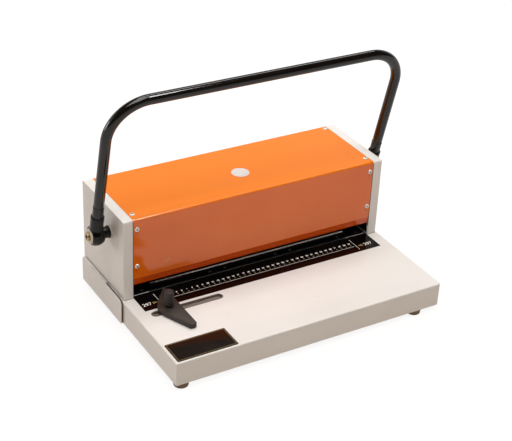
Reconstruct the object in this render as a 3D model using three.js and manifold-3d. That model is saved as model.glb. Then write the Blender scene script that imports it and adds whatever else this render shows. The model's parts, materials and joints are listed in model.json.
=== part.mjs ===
// Coil binding machine: a bench punch that makes a row of round holes along the edge of a stack of paper.
// A handle on a cross shaft turns two cams, the cams press a ram down, and the ram drives
// thirty-nine punches through three guide blocks into one die plate. Two springs lift the ram again.
// Millimetres, X along the machine, Y to the back, Z up.
// The building frame has X = 0 midway between the side panels, Y = 0 at their front faces
// and Z = 0 on the desk. The finished group is moved so that its origin is under the middle of the whole.
import * as THREE from "three";
import { mergeVertices } from "three/addons/utils/BufferGeometryUtils.js";
import Module from "manifold-3d";

const wasm = await Module();
wasm.setup();

// Clearances and drafting values
const runGap = 0.3; // between pieces that move past each other or are built separately
const cutOverrun = 4; // how far a cutting body reaches past what it cuts
const weldDistance = 0.001; // vertices closer than this are one vertex
const arcSteps = 4; // straight pieces in a small rounded corner
const roundSides = 16; // sides of a visible round piece
const plainSides = 12; // sides of a post, a foot and a screw head
const boreSides = 8; // sides of a punch, a punch bore and a screw shank
const discSides = 24;
const hexSides = 6;
const shallowSteps = 2; // straight pieces in a corner that hardly shows

// Base: one inverted tray of folded sheet on four feet
const baseLeftMargin = 1.8; // the base past the left side panel
const baseRightMargin = 3.3; // and past the right one
const tableDepth = 146.9; // table in front of the side panels
const housingDepth = 120.8; // side panels and cover, front to back
const skirtHeight = 32;
const footHeight = 8;
const baseSheet = 1.2;
const baseBend = 1.8; // outer radius where the table folds into a skirt
const seamCornerRadius = 4.6; // the upright front corner on the right, which is rounded
const plainCornerRadius = 1; // the other upright corners
const baseFlange = 18; // inward flange along the foot of the skirts

// Feet: rubber, pushed into the flange
const footRadius = 10.2;
const footTipRadius = 9;
const footRim = 1.6;
const footRecessRadius = 4.2;
const footRecessDepth = 3.5;
const footStemRadius = 3.2;
const footBarbRadius = 4.4;
const footBarbHeight = 2.5;
const footInset = 10.4; // from the base's front and rear edges to a foot's middle
const leftFootInset = 11.8;
const rightFootInset = 33.2; // the right-hand feet stand further in

// Side panels and the steel frames inside them
const panelSpan = 381; // outside to outside
const panelWidth = 13.2;
const panelSheet = 1.2;
const housingHeight = 112.7; // above the table
const housingBend = 2.4; // outer radius of the panels' and the cover's folded corners
const lipWidth = 15.5; // lip behind the cover that takes its screws
const frameSheet = 4;
const frameHeadroom = 11.7; // between a frame's top and the housing's
const frameFoot = 6.6;
const frameSetback = 3;
const frameCrownWidth = 52;
const frameShoulderHeight = 58;
const frameCornerRadius = 8;

// Cover: one sheet over the front, top and back
const coverSheet = 1;
const throatHeight = 19.2; // from the table to the cover's front edge
const coverHem = 6;
const coverScrewInset = 4.9; // from the cover's end to a screw
const coverScrewLow = 46.2;
const coverScrewDrop = 13.7; // upper front screws, below the housing's top
const coverScrewFront = 12.8;
const coverScrewRearInset = 8.8; // rear screws on top, from the housing's back
const screwHeadRadius = 3.3;
const screwHeadHeight = 2;
const screwShankRadius = 1.7;
const screwLength = 7;
const screwCrownShare = 0.34; // how much of the head's upper half its domed edge takes
const recessWidth = 0.7;
const recessLength = 3.4;
const recessDepth = 0.9;
const discRadius = 12; // the bare round disc on top
const discThickness = 0.5;
const discCentreX = 1;
const discCentreY = 51;

// Hole scale and the bare plate on the table
const scaleDepth = 37.2; // hole scale, front to back
const scaleThickness = 0.5;
const plateWidth = 79.6;
const plateDepth = 36;
const plateThickness = 0.8;
const plateRadius = 1.5;
const plateFrontInset = 3.8; // from the table's front edge
const plateSideInset = 3.3; // from the table's left edge

// Punching set
const toolShift = -2.7; // the hole pattern's middle, from the middle of the housing
const pitch = 7.5;
const blockCount = 3;
const patternRoom = 24; // least room in the die plate outside the pattern, at each end
const pinRadius = 1.95;
const pinRest = 0.6; // how far a lifted punch stays inside its guide block
const pinRow = 27; // the row of holes, behind the panels' front faces
const sheetMargin = 5; // from the row of holes to the paper stop
const dieFront = 4.8;
const dieRear = 48;
const dieThickness = 8;
const dieChamfer = 1;
const paperGap = 2.8;
const blockFront = 10.5;
const blockRear = 45;
const blockHeight = 6.2;
const blockChamfer = 0.8;
const bearerWidth = 24;
const bearerHeight = 12.4;
const bearerLap = 8.8; // how far a bearer reaches under the table past the die

// Ram, posts and springs
const stroke = 9;
const holderGapShare = 0.28; // of the height from the guide blocks to the cams: free below the holders
const holderShare = 0.21; // the punch holders
const ramShare = 0.28; // the ram beam, with the cam pads in what is left
const ramFront = 20;
const ramRear = 45;
const ramEndLap = 10; // ram past the middle of each guide post
const ramChamfer = 1.5;
const postMargin = 11.75; // from the outer guide blocks to the middle of each guide post
const postRow = 32.5;
const postRadius = 5;
const postHeadroom = 6; // post above the lifted ram
const postGroove = 0.6;
const postGrooveHeight = 1.4;
const postChamfer = 1;
const wireRadius = 0.9;
const coilRadius = 7.5;
const openTurns = 4.5;
const closedTurns = 1; // at each end
const closedPitch = 2.5;
const curlSteps = 8;
const wireSides = 5;

// Cross shaft, cams and bushes
const shaftShift = -4.3; // the shaft's middle, from the middle of the housing
const shaftRow = 39.7; // behind the panels' front faces
const shaftDrop = 32.6; // below the housing's top
const shaftRadius = 6;
const shaftChamfer = 0.8;
const handleTravelDegrees = 72;
const camBase = 14;
const camWidth = 10;
const camBossRadius = 10.5;
const camBossLength = 18;
const camSpread = 95; // from the pattern's middle to each cam
const camSteps = 9;
const padWidth = 16;
const padAhead = 16.7; // a cam pad's front edge, ahead of the shaft
const padBehind = 3.3; // and its rear edge, behind it
const bushRadius = 7.4;
const bushFlangeRadius = 8.2;
const bushFlange = 1.2;
const spacerRadius = 7.3;
const spacerRimRadius = 8.3;
const spacerRim = 2.2;

// Handle
const leanDegrees = 13.8; // forward lean of the handle at rest
const hubPlay = 0.6; // between the right hub and its bush
const handleReach = 198.7; // from the shaft to the grip's centre line
const handleBend = 50.6;
const tubeRadius = 6.75;
const tubeWall = 1.5;
const tubeSides = 16;
const tubeBoreSides = 10;
const bendSteps = 9;
const hubBallRadius = 13.8;
const hubInner = 8.4;
const hubOuter = 7.2;
const hubSides = 20;
const hubArcSteps = 8;
const collarRadius = 8.5;
const collarTop = 31;
const socketFloor = 14;
const ferruleRadius = 7;
const ferruleTop = 47;
const neckRadius = 6.2;
const neckLength = 2.8;
const spigotLength = 15;
const ferruleChamfer = 0.5;
const washerRadius = 9.8;
const washerThickness = 1.5;
const boltHeadRadius = 5.4;
const boltHeadHeight = 3;
const boltHeadEdge = 0.7; // bevel round the head's outer face
const boltSocketRadius = 2.6;
const boltSocketDepth = 1.8;
const boltShankRadius = 3;
const boltLength = 14;

// Chip tray and its rails
const traySheet = 1;
const trayHeadroom = 3.1; // between the tray and the die bearers
const trayFront = 1.6;
const trayRearInset = 22.8; // from the housing's back to the tray's rear wall
const trayLength = 322;
const trayFaceGap = 2.2; // between the skirt and the tray's face
const trayFaceFront = -1.9;
const trayFaceRearInset = 4.3; // and to its face's rear edge
const trayFaceRise = 1.8; // above the table
const trayFaceRadius = 8;
const trayFaceSmallRadius = 1.5;
const trayFoldFront = 45; // the face's top edge is folded in behind this line only
const trayFoldGap = 0.6;
const railSheet = 1;
const railShelf = 6;
const railFlange = 8;
const railHalfLength = 146;

// Edge guide and its slot
const slotInset = 20; // from the base's left skirt to the slot
const slotLength = 97.4;
const slotRow = -43.4;
const slotWidth = 9;
const channelWidth = 16;
const channelSheet = 1;
const channelFlange = 7;
const channelLap = 6;
const guidePark = 22.9; // from the slot's left end to the clamp knob's axis at rest
const guideThickness = 6.1;
const guideEdge = 14; // from the knob's axis to the straight edge that the paper meets
const guideTail = 38.9; // from the knob's axis back to the blunt tail
const guideTailWidth = 3.4;
const guideTailRadius = 1.4;
const guideNose = 48.9; // from the knob's axis forward to the nose
const guideNoseWidth = 8.9;
const guideNoseRadius = 3.8;
const guideBulge = 17.5; // from the knob's axis to where the two left edges would meet
const guideBulgeRow = 2.7;
const guideBulgeRadius = 24;
const guideBevel = 0.6;
const knobRadius = 6.4;
const knobTopRadius = 5.9;
const knobHeight = 20.8;
const knobNeckRadius = 5.3;
const knobNeck = 2.2;
const knobDish = 1.1;
const knobDishRadius = 4.2;
const knobEdge = 0.6;
const studRadius = 3;
const nutLength = 18;
const nutWidth = 13.5;
const nutThickness = 1.4;

// Levels and places that follow from the sizes above
const tableTop = footHeight + skirtHeight;
const halfPanels = panelSpan / 2;
const panelInner = halfPanels - panelWidth;
const housingTop = tableTop + housingHeight;
const halfCover = panelInner - runGap;
const dieWidth = 2 * halfCover;
const baseLeft = halfPanels + baseLeftMargin;
const baseRight = halfPanels + baseRightMargin;
const armSpread = halfPanels - shaftShift + bushFlange + hubPlay + hubInner;
const shaftZ = housingTop - shaftDrop;
const handleTravel = THREE.MathUtils.degToRad(handleTravelDegrees);
const lean = THREE.MathUtils.degToRad(leanDegrees);
const liftPerRadian = stroke / handleTravel;
const pinsPerBlock = Math.floor((dieWidth - 2 * patternRoom) / (blockCount * pitch));
const blockLength = pinsPerBlock * pitch;
const blockBottom = tableTop + paperGap;
const blockTop = blockBottom + blockHeight;
const padTop = shaftZ - camBase - runGap;
const ramRoom = padTop - blockTop;
const holderBottom = blockTop + ramRoom * holderGapShare;
const ramBottom = holderBottom + ramRoom * holderShare;
const ramTop = ramBottom + ramRoom * ramShare;
const boreRadius = pinRadius + runGap;
const skirtBottom = footHeight;
const trayRear = housingDepth - trayRearInset;
const trayFaceRear = housingDepth - trayFaceRearInset;
const slotLeft = -baseLeft + slotInset;
const slotRight = slotLeft + slotLength;
const guideX = slotLeft + guidePark;
const channelDepth = nutThickness + 2 * runGap;
const trayFloor = skirtBottom + baseSheet + railSheet + 2 * runGap;
const bearerTop = tableTop - baseSheet - runGap;
const trayWall = bearerTop - bearerHeight - trayHeadroom - trayFloor;
const lipInset = coverSheet + runGap;
const flat = Math.PI / 2;
const padFront = shaftRow - padAhead;
const padRear = shaftRow + padBehind;
const postSpread = (blockCount * blockLength) / 2 + postMargin;
const postPlaces = [toolShift - postSpread, toolShift + postSpread];

// Materials
const finish = (name, color, roughness, metalness) =>
  new THREE.MeshStandardMaterial({ name, color, roughness, metalness });
const creamPaint = finish("cream paint", 0xece6da, 0.45, 0);
const orangePaint = finish("orange paint", 0xf07f28, 0.4, 0);
const blackPaint = finish("black gloss paint", 0x16130f, 0.2, 0);
const blackSteel = finish("blackened steel", 0x1b1a1a, 0.45, 0.6);
const brightSteel = finish("bright steel", 0xb9b7b2, 0.3, 1);
const springSteel = finish("spring steel", 0x8b8c90, 0.35, 1);
const zinc = finish("zinc plate", 0xc7c6c2, 0.35, 1);
const brass = finish("brass", 0xc9a45c, 0.3, 1);
const nylon = finish("pale nylon", 0xe9e3d6, 0.5, 0);
const brownRubber = finish("brown rubber", 0x6b5138, 0.7, 0);
const darkPlastic = finish("dark moulded plastic", 0x4a423c, 0.55, 0);
const scaleBlack = finish("printed black scale", 0x16100d, 0.4, 0);
const whiteLabel = finish("white label", 0xf4f3ee, 0.5, 0);

// A three.js geometry as a solid, with its faces turned outwards.
function solid(geometry) {
  const bare = geometry.clone();
  ["normal", "uv"].forEach((name) => bare.deleteAttribute(name));
  const merged = mergeVertices(bare, weldDistance);
  const vertProperties = merged.attributes.position.array;
  const triVerts = new Uint32Array(merged.index.array);
  const made = new wasm.Manifold(new wasm.Mesh({ numProp: 3, vertProperties, triVerts }));
  if (made.volume() > 0) return made;
  return new wasm.Manifold(new wasm.Mesh({ numProp: 3, vertProperties, triVerts: triVerts.reverse() }));
}

// A solid back as a geometry with flat-shaded faces.
function geometryOf(body) {
  const mesh = body.getMesh();
  const places = new Float32Array(mesh.numVert * axes.length);
  for (let i = 0; i < mesh.numVert; i += 1) {
    const from = i * mesh.numProp;
    places.set(mesh.vertProperties.subarray(from, from + axes.length), i * axes.length);
  }
  const geometry = new THREE.BufferGeometry();
  geometry.setAttribute("position", new THREE.BufferAttribute(places, axes.length));
  geometry.setIndex(new THREE.BufferAttribute(mesh.triVerts, 1));
  geometry.computeVertexNormals();
  return geometry;
}

const join = (...bodies) => bodies.reduce((whole, body) => whole.add(body));
const cut = (body, ...tools) => tools.reduce((rest, tool) => rest.subtract(tool), body);

// A closed outline from corners [x, y, radius]; a corner with a radius becomes an arc.
function outline(corners, steps = arcSteps) {
  const points = [];
  corners.forEach(([x, y, radius = 0], i) => {
    const here = new THREE.Vector2(x, y);
    if (radius <= 0) {
      points.push(here);
      return;
    }
    const last = corners[(i + corners.length - 1) % corners.length];
    const next = corners[(i + 1) % corners.length];
    const back = new THREE.Vector2(last[0] - x, last[1] - y).normalize();
    const ahead = new THREE.Vector2(next[0] - x, next[1] - y).normalize();
    const half = Math.acos(THREE.MathUtils.clamp(back.dot(ahead), -1, 1)) / 2;
    const middle = back.clone().add(ahead).normalize();
    const centre = here.clone().addScaledVector(middle, radius / Math.sin(half));
    const start = here.clone().addScaledVector(back, radius / Math.tan(half)).sub(centre);
    const turn = Math.sign(back.cross(ahead)) * -(Math.PI - 2 * half);
    for (let step = 0; step <= steps; step += 1) {
      points.push(start.clone().rotateAround(new THREE.Vector2(), (turn * step) / steps).add(centre));
    }
  });
  return points;
}

// A rectangle between two corners, with one radius for all corners or one for each.
function rectangle(x0, y0, x1, y1, radius = 0, steps = arcSteps) {
  const [r0, r1, r2, r3] = Array.isArray(radius) ? radius : [radius, radius, radius, radius];
  return outline([[x0, y0, r0], [x1, y0, r1], [x1, y1, r2], [x0, y1, r3]], steps);
}

// A regular ring of points round a centre.
function circle(x, y, radius, sides = roundSides) {
  const points = [];
  for (let i = 0; i < sides; i += 1) {
    const angle = ((i + 1 / 2) / sides) * 2 * Math.PI;
    points.push(new THREE.Vector2(x + radius * Math.cos(angle), y + radius * Math.sin(angle)));
  }
  return points;
}

// A prism of an outline with holes, drawn in two axes and extruded along the third.
function prism(points, holes, from, to, across, up, along) {
  const shape = new THREE.Shape(points);
  holes.forEach((hole) => shape.holes.push(new THREE.Path(hole)));
  const geometry = new THREE.ExtrudeGeometry(shape, { depth: to - from, bevelEnabled: false });
  geometry.translate(0, 0, from);
  geometry.applyMatrix4(new THREE.Matrix4().makeBasis(across, up, along));
  return solid(geometry);
}

const axisX = new THREE.Vector3(1, 0, 0);
const axisY = new THREE.Vector3(0, 1, 0);
const axisZ = new THREE.Vector3(0, 0, 1);
const axes = [axisX, axisY, axisZ];
const alongX = (yz, from, to, holes = []) => prism(yz, holes, from, to, axisY, axisZ, axisX);
const alongY = (xz, from, to, holes = []) => prism(xz, holes, from, to, axisX, axisZ, axisY);
const alongZ = (xy, from, to, holes = []) => prism(xy, holes, from, to, axisX, axisY, axisZ);
const block = (x0, y0, z0, x1, y1, z1) => alongZ(rectangle(x0, y0, x1, y1), z0, z1);

// A turned piece: [radius, height] pairs, revolved round Z.
function turned(profile, sides = roundSides) {
  const geometry = new THREE.LatheGeometry(profile.map(([r, h]) => new THREE.Vector2(r, h)), sides);
  geometry.rotateX(flat);
  geometry.rotateZ(Math.PI / sides);
  return solid(geometry);
}

// A turned piece laid along X, its heights running to the right.
function turnedX(profile, sides = roundSides) {
  const geometry = new THREE.LatheGeometry(profile.map(([r, h]) => new THREE.Vector2(r, h)), sides);
  geometry.rotateZ(-flat);
  geometry.rotateX(Math.PI / sides);
  return solid(geometry);
}

// A straight round bar between two heights.
const rod = (radius, from, to, sides) => turned([[0, from], [radius, from], [radius, to], [0, to]], sides);
const rodX = (radius, from, to, sides) => turnedX([[0, from], [radius, from], [radius, to], [0, to]], sides);

// A tube or wire swept through stations { centre, side, over }, closed at both ends.
// Each station's ring is centre + radius * (cos a * side + sin a * over).
function swept(stations, radius, sides, bore = 0, innerSides = sides) {
  const places = [];
  const faces = [];
  const ring = (station, size, count) => {
    const first = places.length / axes.length;
    for (let i = 0; i < count; i += 1) {
      const angle = (i / count) * 2 * Math.PI;
      const point = station.centre.clone();
      point.addScaledVector(station.side, size * Math.cos(angle));
      point.addScaledVector(station.over, size * Math.sin(angle));
      places.push(point.x, point.y, point.z);
    }
    return first;
  };
  const skin = (a, b, count, inward) => {
    for (let i = 0; i < count; i += 1) {
      const j = (i + 1) % count;
      const quad = [a + i, a + j, b + j, a + i, b + j, b + i];
      faces.push(...(inward ? quad.reverse() : quad));
    }
  };
  const tube = stations.map((station) => ring(station, radius, sides));
  for (let i = 1; i < tube.length; i += 1) skin(tube[i - 1], tube[i], sides, false);
  const cap = (first, count, inward) => {
    for (let i = 1; i < count - 1; i += 1) {
      const fan = [first, first + i + 1, first + i];
      faces.push(...(inward ? fan.reverse() : fan));
    }
  };
  cap(tube[0], sides, false);
  cap(tube[tube.length - 1], sides, true);
  const build = () => {
    const geometry = new THREE.BufferGeometry();
    geometry.setAttribute("position", new THREE.Float32BufferAttribute(places, axes.length));
    geometry.setIndex(faces);
    return solid(geometry);
  };
  const full = build();
  if (bore <= 0) return full;
  return cut(full, swept(overrunEnds(stations), bore, innerSides));
}

// The same stations with the two end ones moved outwards, for a bore that breaks through.
function overrunEnds(stations) {
  const longer = stations.map((station) => ({ ...station, centre: station.centre.clone() }));
  const push = (end, inner) => {
    const out = longer[end].centre.clone().sub(stations[inner].centre).normalize();
    longer[end].centre.addScaledVector(out, cutOverrun);
  };
  push(0, 1);
  push(longer.length - 1, longer.length - 2);
  return longer;
}

const root = new THREE.Group();

// Puts a solid into the scene as one named mesh.
function add(name, body, material, group = root) {
  const mesh = new THREE.Mesh(geometryOf(body), material.clone());
  mesh.name = name;
  group.add(mesh);
  return mesh;
}

// A group with its origin at a place, for pieces built round their own axis.
function groupAt(x, y, z) {
  const group = new THREE.Group();
  group.position.set(x, y, z);
  root.add(group);
  return group;
}

// Base: the folded tray
function baseShell() {
  const tray = (inset, top, bottom, radius, corner, plain) => {
    const left = -baseLeft + inset;
    const right = baseRight - inset;
    const front = -tableDepth + inset;
    const rear = housingDepth - inset;
    const plan = rectangle(left, front, right, rear, [plain, corner, plain, plain]);
    const endView = rectangle(front, bottom - cutOverrun, rear, top, [0, 0, radius, radius]);
    const frontView = rectangle(left, bottom - cutOverrun, right, top, [0, 0, radius, radius]);
    return alongZ(plan, bottom, top)
      .intersect(alongX(endView, left, right))
      .intersect(alongY(frontView, front, rear));
  };
  const outer = tray(0, tableTop, skirtBottom, baseBend, seamCornerRadius, plainCornerRadius);
  const hollow = tray(
    baseSheet,
    tableTop - baseSheet,
    skirtBottom + baseSheet,
    baseBend - baseSheet,
    seamCornerRadius - baseSheet,
    0,
  );
  const mouth = block(
    -baseLeft + baseFlange,
    -tableDepth + baseFlange,
    skirtBottom - cutOverrun,
    baseRight - baseFlange,
    housingDepth - baseFlange,
    skirtBottom + baseSheet + cutOverrun,
  );
  const slotHalf = slotWidth / 2;
  const slot = alongZ(
    rectangle(slotLeft, slotRow - slotHalf, slotRight, slotRow + slotHalf, slotHalf - weldDistance),
    tableTop - baseSheet - cutOverrun,
    tableTop + cutOverrun,
  );
  const dieWindow = block(
    -dieWidth / 2 - runGap,
    dieFront - runGap,
    tableTop - baseSheet - cutOverrun,
    dieWidth / 2 + runGap,
    dieRear + runGap,
    tableTop + cutOverrun,
  );
  const trayMouth = block(
    -baseLeft - cutOverrun,
    trayFront - 2 * runGap,
    trayFloor - runGap,
    -baseLeft + cutOverrun,
    trayRear + 2 * runGap,
    trayFloor + trayWall + 2 * runGap,
  );
  const stemHoles = footPlaces().map(({ x, y }) =>
    alongZ(
      circle(x, y, footStemRadius + runGap, boreSides),
      skirtBottom - cutOverrun,
      skirtBottom + baseSheet + footBarbHeight,
    ),
  );
  return cut(outer, hollow, mouth, slot, dieWindow, trayMouth, ...stemHoles);
}

function footPlaces() {
  const front = -tableDepth + footInset;
  const rear = housingDepth - footInset;
  const left = -baseLeft + leftFootInset;
  const right = baseRight - rightFootInset;
  return [
    { name: "foot_front_left", x: left, y: front },
    { name: "foot_front_right", x: right, y: front },
    { name: "foot_rear_left", x: left, y: rear },
    { name: "foot_rear_right", x: right, y: rear },
  ];
}

// A tapered foot with a recess below and a barbed stem that snaps into the flange.
function foot() {
  const flangeTop = skirtBottom + baseSheet;
  return turned([
    [0, footRecessDepth],
    [footRecessRadius, footRecessDepth],
    [footRecessRadius, 0],
    [footTipRadius, 0],
    [footRadius, footHeight - footRim],
    [footRadius, footHeight],
    [footStemRadius, footHeight],
    [footStemRadius, flangeTop + runGap],
    [footBarbRadius, flangeTop + runGap],
    [footStemRadius - footBarbHeight / 2, flangeTop + footBarbHeight],
    [0, flangeTop + footBarbHeight],
  ], plainSides);
}

// The hole scale, the bare plate and the channel under the guide slot
function holeScale() {
  const rear = dieFront - 2 * runGap;
  return block(-halfCover, rear - scaleDepth, tableTop, halfCover, rear, tableTop + scaleThickness);
}

function frontPlate() {
  const left = -baseLeft + plateSideInset;
  const front = -tableDepth + plateFrontInset;
  const plan = rectangle(left, front, left + plateWidth, front + plateDepth, plateRadius);
  return alongZ(plan, tableTop, tableTop + plateThickness);
}

function slotChannel() {
  const top = tableTop - baseSheet;
  const half = channelWidth / 2;
  const wall = half + channelSheet;
  const floor = top - channelDepth;
  const corners = [
    [slotRow - wall - channelFlange, top],
    [slotRow - wall - channelFlange, top - channelSheet],
    [slotRow - wall, top - channelSheet],
    [slotRow - wall, floor - channelSheet],
    [slotRow + wall, floor - channelSheet],
    [slotRow + wall, top - channelSheet],
    [slotRow + wall + channelFlange, top - channelSheet],
    [slotRow + wall + channelFlange, top],
    [slotRow + half, top],
    [slotRow + half, floor],
    [slotRow - half, floor],
    [slotRow - half, top],
  ];
  return alongX(outline(corners), slotLeft - channelLap, slotRight + channelLap);
}

// Housing: an end view shared by the panels and the cover, drawn in from the outside by an inset
function housingEnd(inset, bottom, radius) {
  const corner = Math.max(radius - inset, 0);
  return rectangle(inset, bottom, housingDepth - inset, housingTop - inset, [0, 0, corner, corner]);
}

// A three-sided strip that follows the housing's end view between two insets.
function housingStrip(from, to, outside, inside, radius, frontBottom, rearBottom) {
  const left = from - cutOverrun;
  const right = to + cutOverrun;
  const below = tableTop - cutOverrun;
  const middle = housingDepth / 2;
  return cut(
    alongX(housingEnd(outside, tableTop, radius), from, to),
    alongX(housingEnd(inside, below, radius), left, right),
    block(left, -cutOverrun, below, right, middle, frontBottom),
    block(left, middle, below, right, housingDepth + cutOverrun, rearBottom),
  );
}

// What is cut out of a panel or a frame for the shaft's bush.
const bushHole = (from, to) =>
  alongX(circle(shaftRow, shaftZ, bushRadius + runGap), from - cutOverrun, to + cutOverrun);

// The left side panel; the right one is its mirror image.
function sidePanel() {
  const outerFace = -halfPanels;
  const innerFace = -panelInner;
  const wall = alongX(housingEnd(0, tableTop, housingBend), outerFace, outerFace + panelSheet);
  const rim = housingStrip(outerFace, innerFace, 0, panelSheet, housingBend, tableTop, tableTop);
  const lipBottom = tableTop + throatHeight + coverHem;
  const joggleStart = innerFace - panelSheet;
  const lipEnd = innerFace + lipWidth;
  const lipInside = lipInset + panelSheet;
  const joggle = housingStrip(joggleStart, innerFace, 0, lipInside, housingBend, tableTop, tableTop);
  const lip = housingStrip(
    joggleStart,
    lipEnd,
    lipInset,
    lipInside,
    housingBend,
    lipBottom,
    tableTop + coverHem,
  );
  const sole = block(outerFace, 0, tableTop, innerFace, housingDepth, tableTop + panelSheet);
  const shaftHole = bushHole(outerFace, outerFace + panelSheet);
  const screwHoles = coverScrewPlaces()
    .filter(({ x }) => x < 0)
    .map((place) => screwHole(place));
  return cut(join(wall, rim, joggle, lip, sole), shaftHole, ...screwHoles);
}

const mirrored = (body) => body.mirror([1, 0, 0]);

// The left steel frame inside its panel, with a foot turned inwards.
function sideFrame() {
  const outerFace = -halfPanels + panelSheet + runGap;
  const innerFace = outerFace + frameSheet;
  const bottom = tableTop + panelSheet;
  const top = housingTop - frameHeadroom;
  const front = frameSetback;
  const rear = housingDepth - frameSetback;
  const crown = shaftRow + frameCrownWidth / 2;
  const corners = [
    [front, bottom],
    [rear, bottom],
    [rear, tableTop + frameShoulderHeight, frameCornerRadius],
    [crown, top, frameCornerRadius],
    [front, top, frameCornerRadius],
  ];
  const plate = alongX(outline(corners), outerFace, innerFace);
  const sole = block(outerFace, front, bottom, innerFace + frameFoot, rear, bottom + frameSheet);
  const shaftHole = bushHole(outerFace, innerFace);
  return cut(join(plate, sole), shaftHole);
}

// Cover screws: where each sits and which way its head faces
function coverScrewPlaces() {
  const places = [];
  [-1, 1].forEach((side) => {
    const x = side * (halfCover - coverScrewInset);
    places.push({ x, y: 0, z: housingTop - coverScrewDrop, faces: "front" });
    places.push({ x, y: 0, z: tableTop + coverScrewLow, faces: "front" });
    places.push({ x, y: coverScrewFront, z: housingTop, faces: "top" });
    places.push({ x, y: housingDepth - coverScrewRearInset, z: housingTop, faces: "top" });
    places.push({ x, y: housingDepth, z: tableTop + coverScrewLow, faces: "rear" });
  });
  return places;
}

// Turns a geometry whose head faces +Z to face the front, the top or the back of the housing.
function facing(place) {
  const turnAngle = { front: flat, top: 0, rear: -flat };
  const matrix = new THREE.Matrix4().makeRotationX(turnAngle[place.faces]);
  return matrix.setPosition(place.x, place.y, place.z);
}

function turnTo(body, place) {
  const geometry = geometryOf(body);
  geometry.applyMatrix4(facing(place));
  return solid(geometry);
}

const screwHole = (place) =>
  turnTo(rod(screwShankRadius + runGap, -screwLength - cutOverrun, cutOverrun, boreSides), place);

// A pan head screw with a cross recess, its head's underside at Z = 0.
function panScrew() {
  const shoulder = screwHeadHeight / 2;
  const body = turned([
    [0, -screwLength],
    [screwShankRadius, -screwLength],
    [screwShankRadius, 0],
    [screwHeadRadius, 0],
    [screwHeadRadius, shoulder / 2],
    [screwHeadRadius - shoulder / 2, screwHeadHeight - shoulder * screwCrownShare],
    [screwShankRadius, screwHeadHeight],
    [0, screwHeadHeight],
  ], plainSides);
  const half = recessLength / 2;
  const slit = recessWidth / 2;
  const floor = screwHeadHeight - recessDepth;
  const top = screwHeadHeight + cutOverrun;
  return cut(body, block(-half, -slit, floor, half, slit, top), block(-slit, -half, floor, slit, half, top));
}

// The cover, with its front edge hemmed inwards above the paper throat.
function cover() {
  const frontBottom = tableTop + throatHeight;
  const rearBottom = tableTop + 2 * runGap;
  const sheet = housingStrip(-halfCover, halfCover, 0, coverSheet, housingBend, frontBottom, rearBottom);
  const hem = block(-halfCover, 0, frontBottom, halfCover, coverHem, frontBottom + coverSheet);
  const holes = coverScrewPlaces().map((place) => screwHole(place));
  return cut(join(sheet, hem), ...holes);
}

// Punching set: places shared by the die, the guide blocks and the punches
function pinPlaces(blockIndex) {
  const places = [];
  for (let pin = 0; pin < pinsPerBlock; pin += 1) {
    const steps = blockIndex * pinsPerBlock + pin - (blockCount * pinsPerBlock - 1) / 2;
    places.push(toolShift + steps * pitch);
  }
  return places;
}

const allPins = Array.from({ length: blockCount }, (unused, i) => pinPlaces(i)).flat();
const blockMiddle = (i) => toolShift + (i - (blockCount - 1) / 2) * blockLength;
function diePlate() {
  const bottom = tableTop - dieThickness;
  const holes = allPins.map((x) => circle(x, pinRow, boreRadius, boreSides));
  const postHoles = postPlaces.map((x) =>
    alongZ(circle(x, postRow, postRadius + runGap, plainSides), bottom - cutOverrun, tableTop + cutOverrun),
  );
  const slab = alongZ(rectangle(-dieWidth / 2, dieFront, dieWidth / 2, dieRear), bottom, tableTop, holes);
  const edge = outline([
    [dieFront - cutOverrun, tableTop - dieChamfer - cutOverrun],
    [dieFront + dieChamfer + cutOverrun, tableTop + cutOverrun],
    [dieFront - cutOverrun, tableTop + cutOverrun],
  ]);
  return cut(slab, alongX(edge, -dieWidth / 2 - cutOverrun, dieWidth / 2 + cutOverrun), ...postHoles);
}

// A bar across the machine that carries one end of the die under the table.
function dieBearer(side) {
  const top = bearerTop;
  const seat = tableTop - dieThickness;
  const bottom = top - bearerHeight;
  const front = dieFront - bearerLap;
  const rear = dieRear + bearerLap;
  const corners = [
    [front, bottom, 2 * baseSheet],
    [rear, bottom, 2 * baseSheet],
    [rear, top],
    [dieRear + runGap, top],
    [dieRear + runGap, seat],
    [dieFront - runGap, seat],
    [dieFront - runGap, top],
    [front, top],
  ];
  const outer = dieWidth / 2;
  const inner = outer - bearerWidth;
  return alongX(outline(corners, shallowSteps), side < 0 ? -outer : inner, side < 0 ? -inner : outer);
}

function paperStop() {
  const half = (blockCount * blockLength) / 2;
  return block(toolShift - half, pinRow + sheetMargin, tableTop, toolShift + half, blockRear, blockBottom);
}

function guideBlock(i) {
  const half = (blockLength - runGap) / 2;
  const x = blockMiddle(i);
  const profile = outline([
    [blockFront, blockBottom],
    [blockRear, blockBottom],
    [blockRear, blockTop],
    [blockFront + blockChamfer, blockTop],
    [blockFront, blockTop - blockChamfer],
  ]);
  const bores = pinPlaces(i).map((place) =>
    alongZ(circle(place, pinRow, boreRadius, boreSides), blockBottom - cutOverrun, blockTop + cutOverrun),
  );
  return cut(alongX(profile, x - half, x + half), ...bores);
}

// Thirteen punches and the holder bar that carries their heads.
function punchUnit(i) {
  const half = (blockLength - runGap) / 2;
  const x = blockMiddle(i);
  const holder = alongX(
    outline([
      [ramFront + ramChamfer, holderBottom],
      [ramRear - ramChamfer, holderBottom],
      [ramRear, holderBottom + ramChamfer],
      [ramRear, ramBottom],
      [ramFront, ramBottom],
      [ramFront, holderBottom + ramChamfer],
    ]),
    x - half,
    x + half,
  );
  const pins = pinPlaces(i).map((place) =>
    alongZ(circle(place, pinRow, pinRadius, boreSides), blockBottom + pinRest, holderBottom + ramChamfer),
  );
  return join(holder, ...pins);
}

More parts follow.
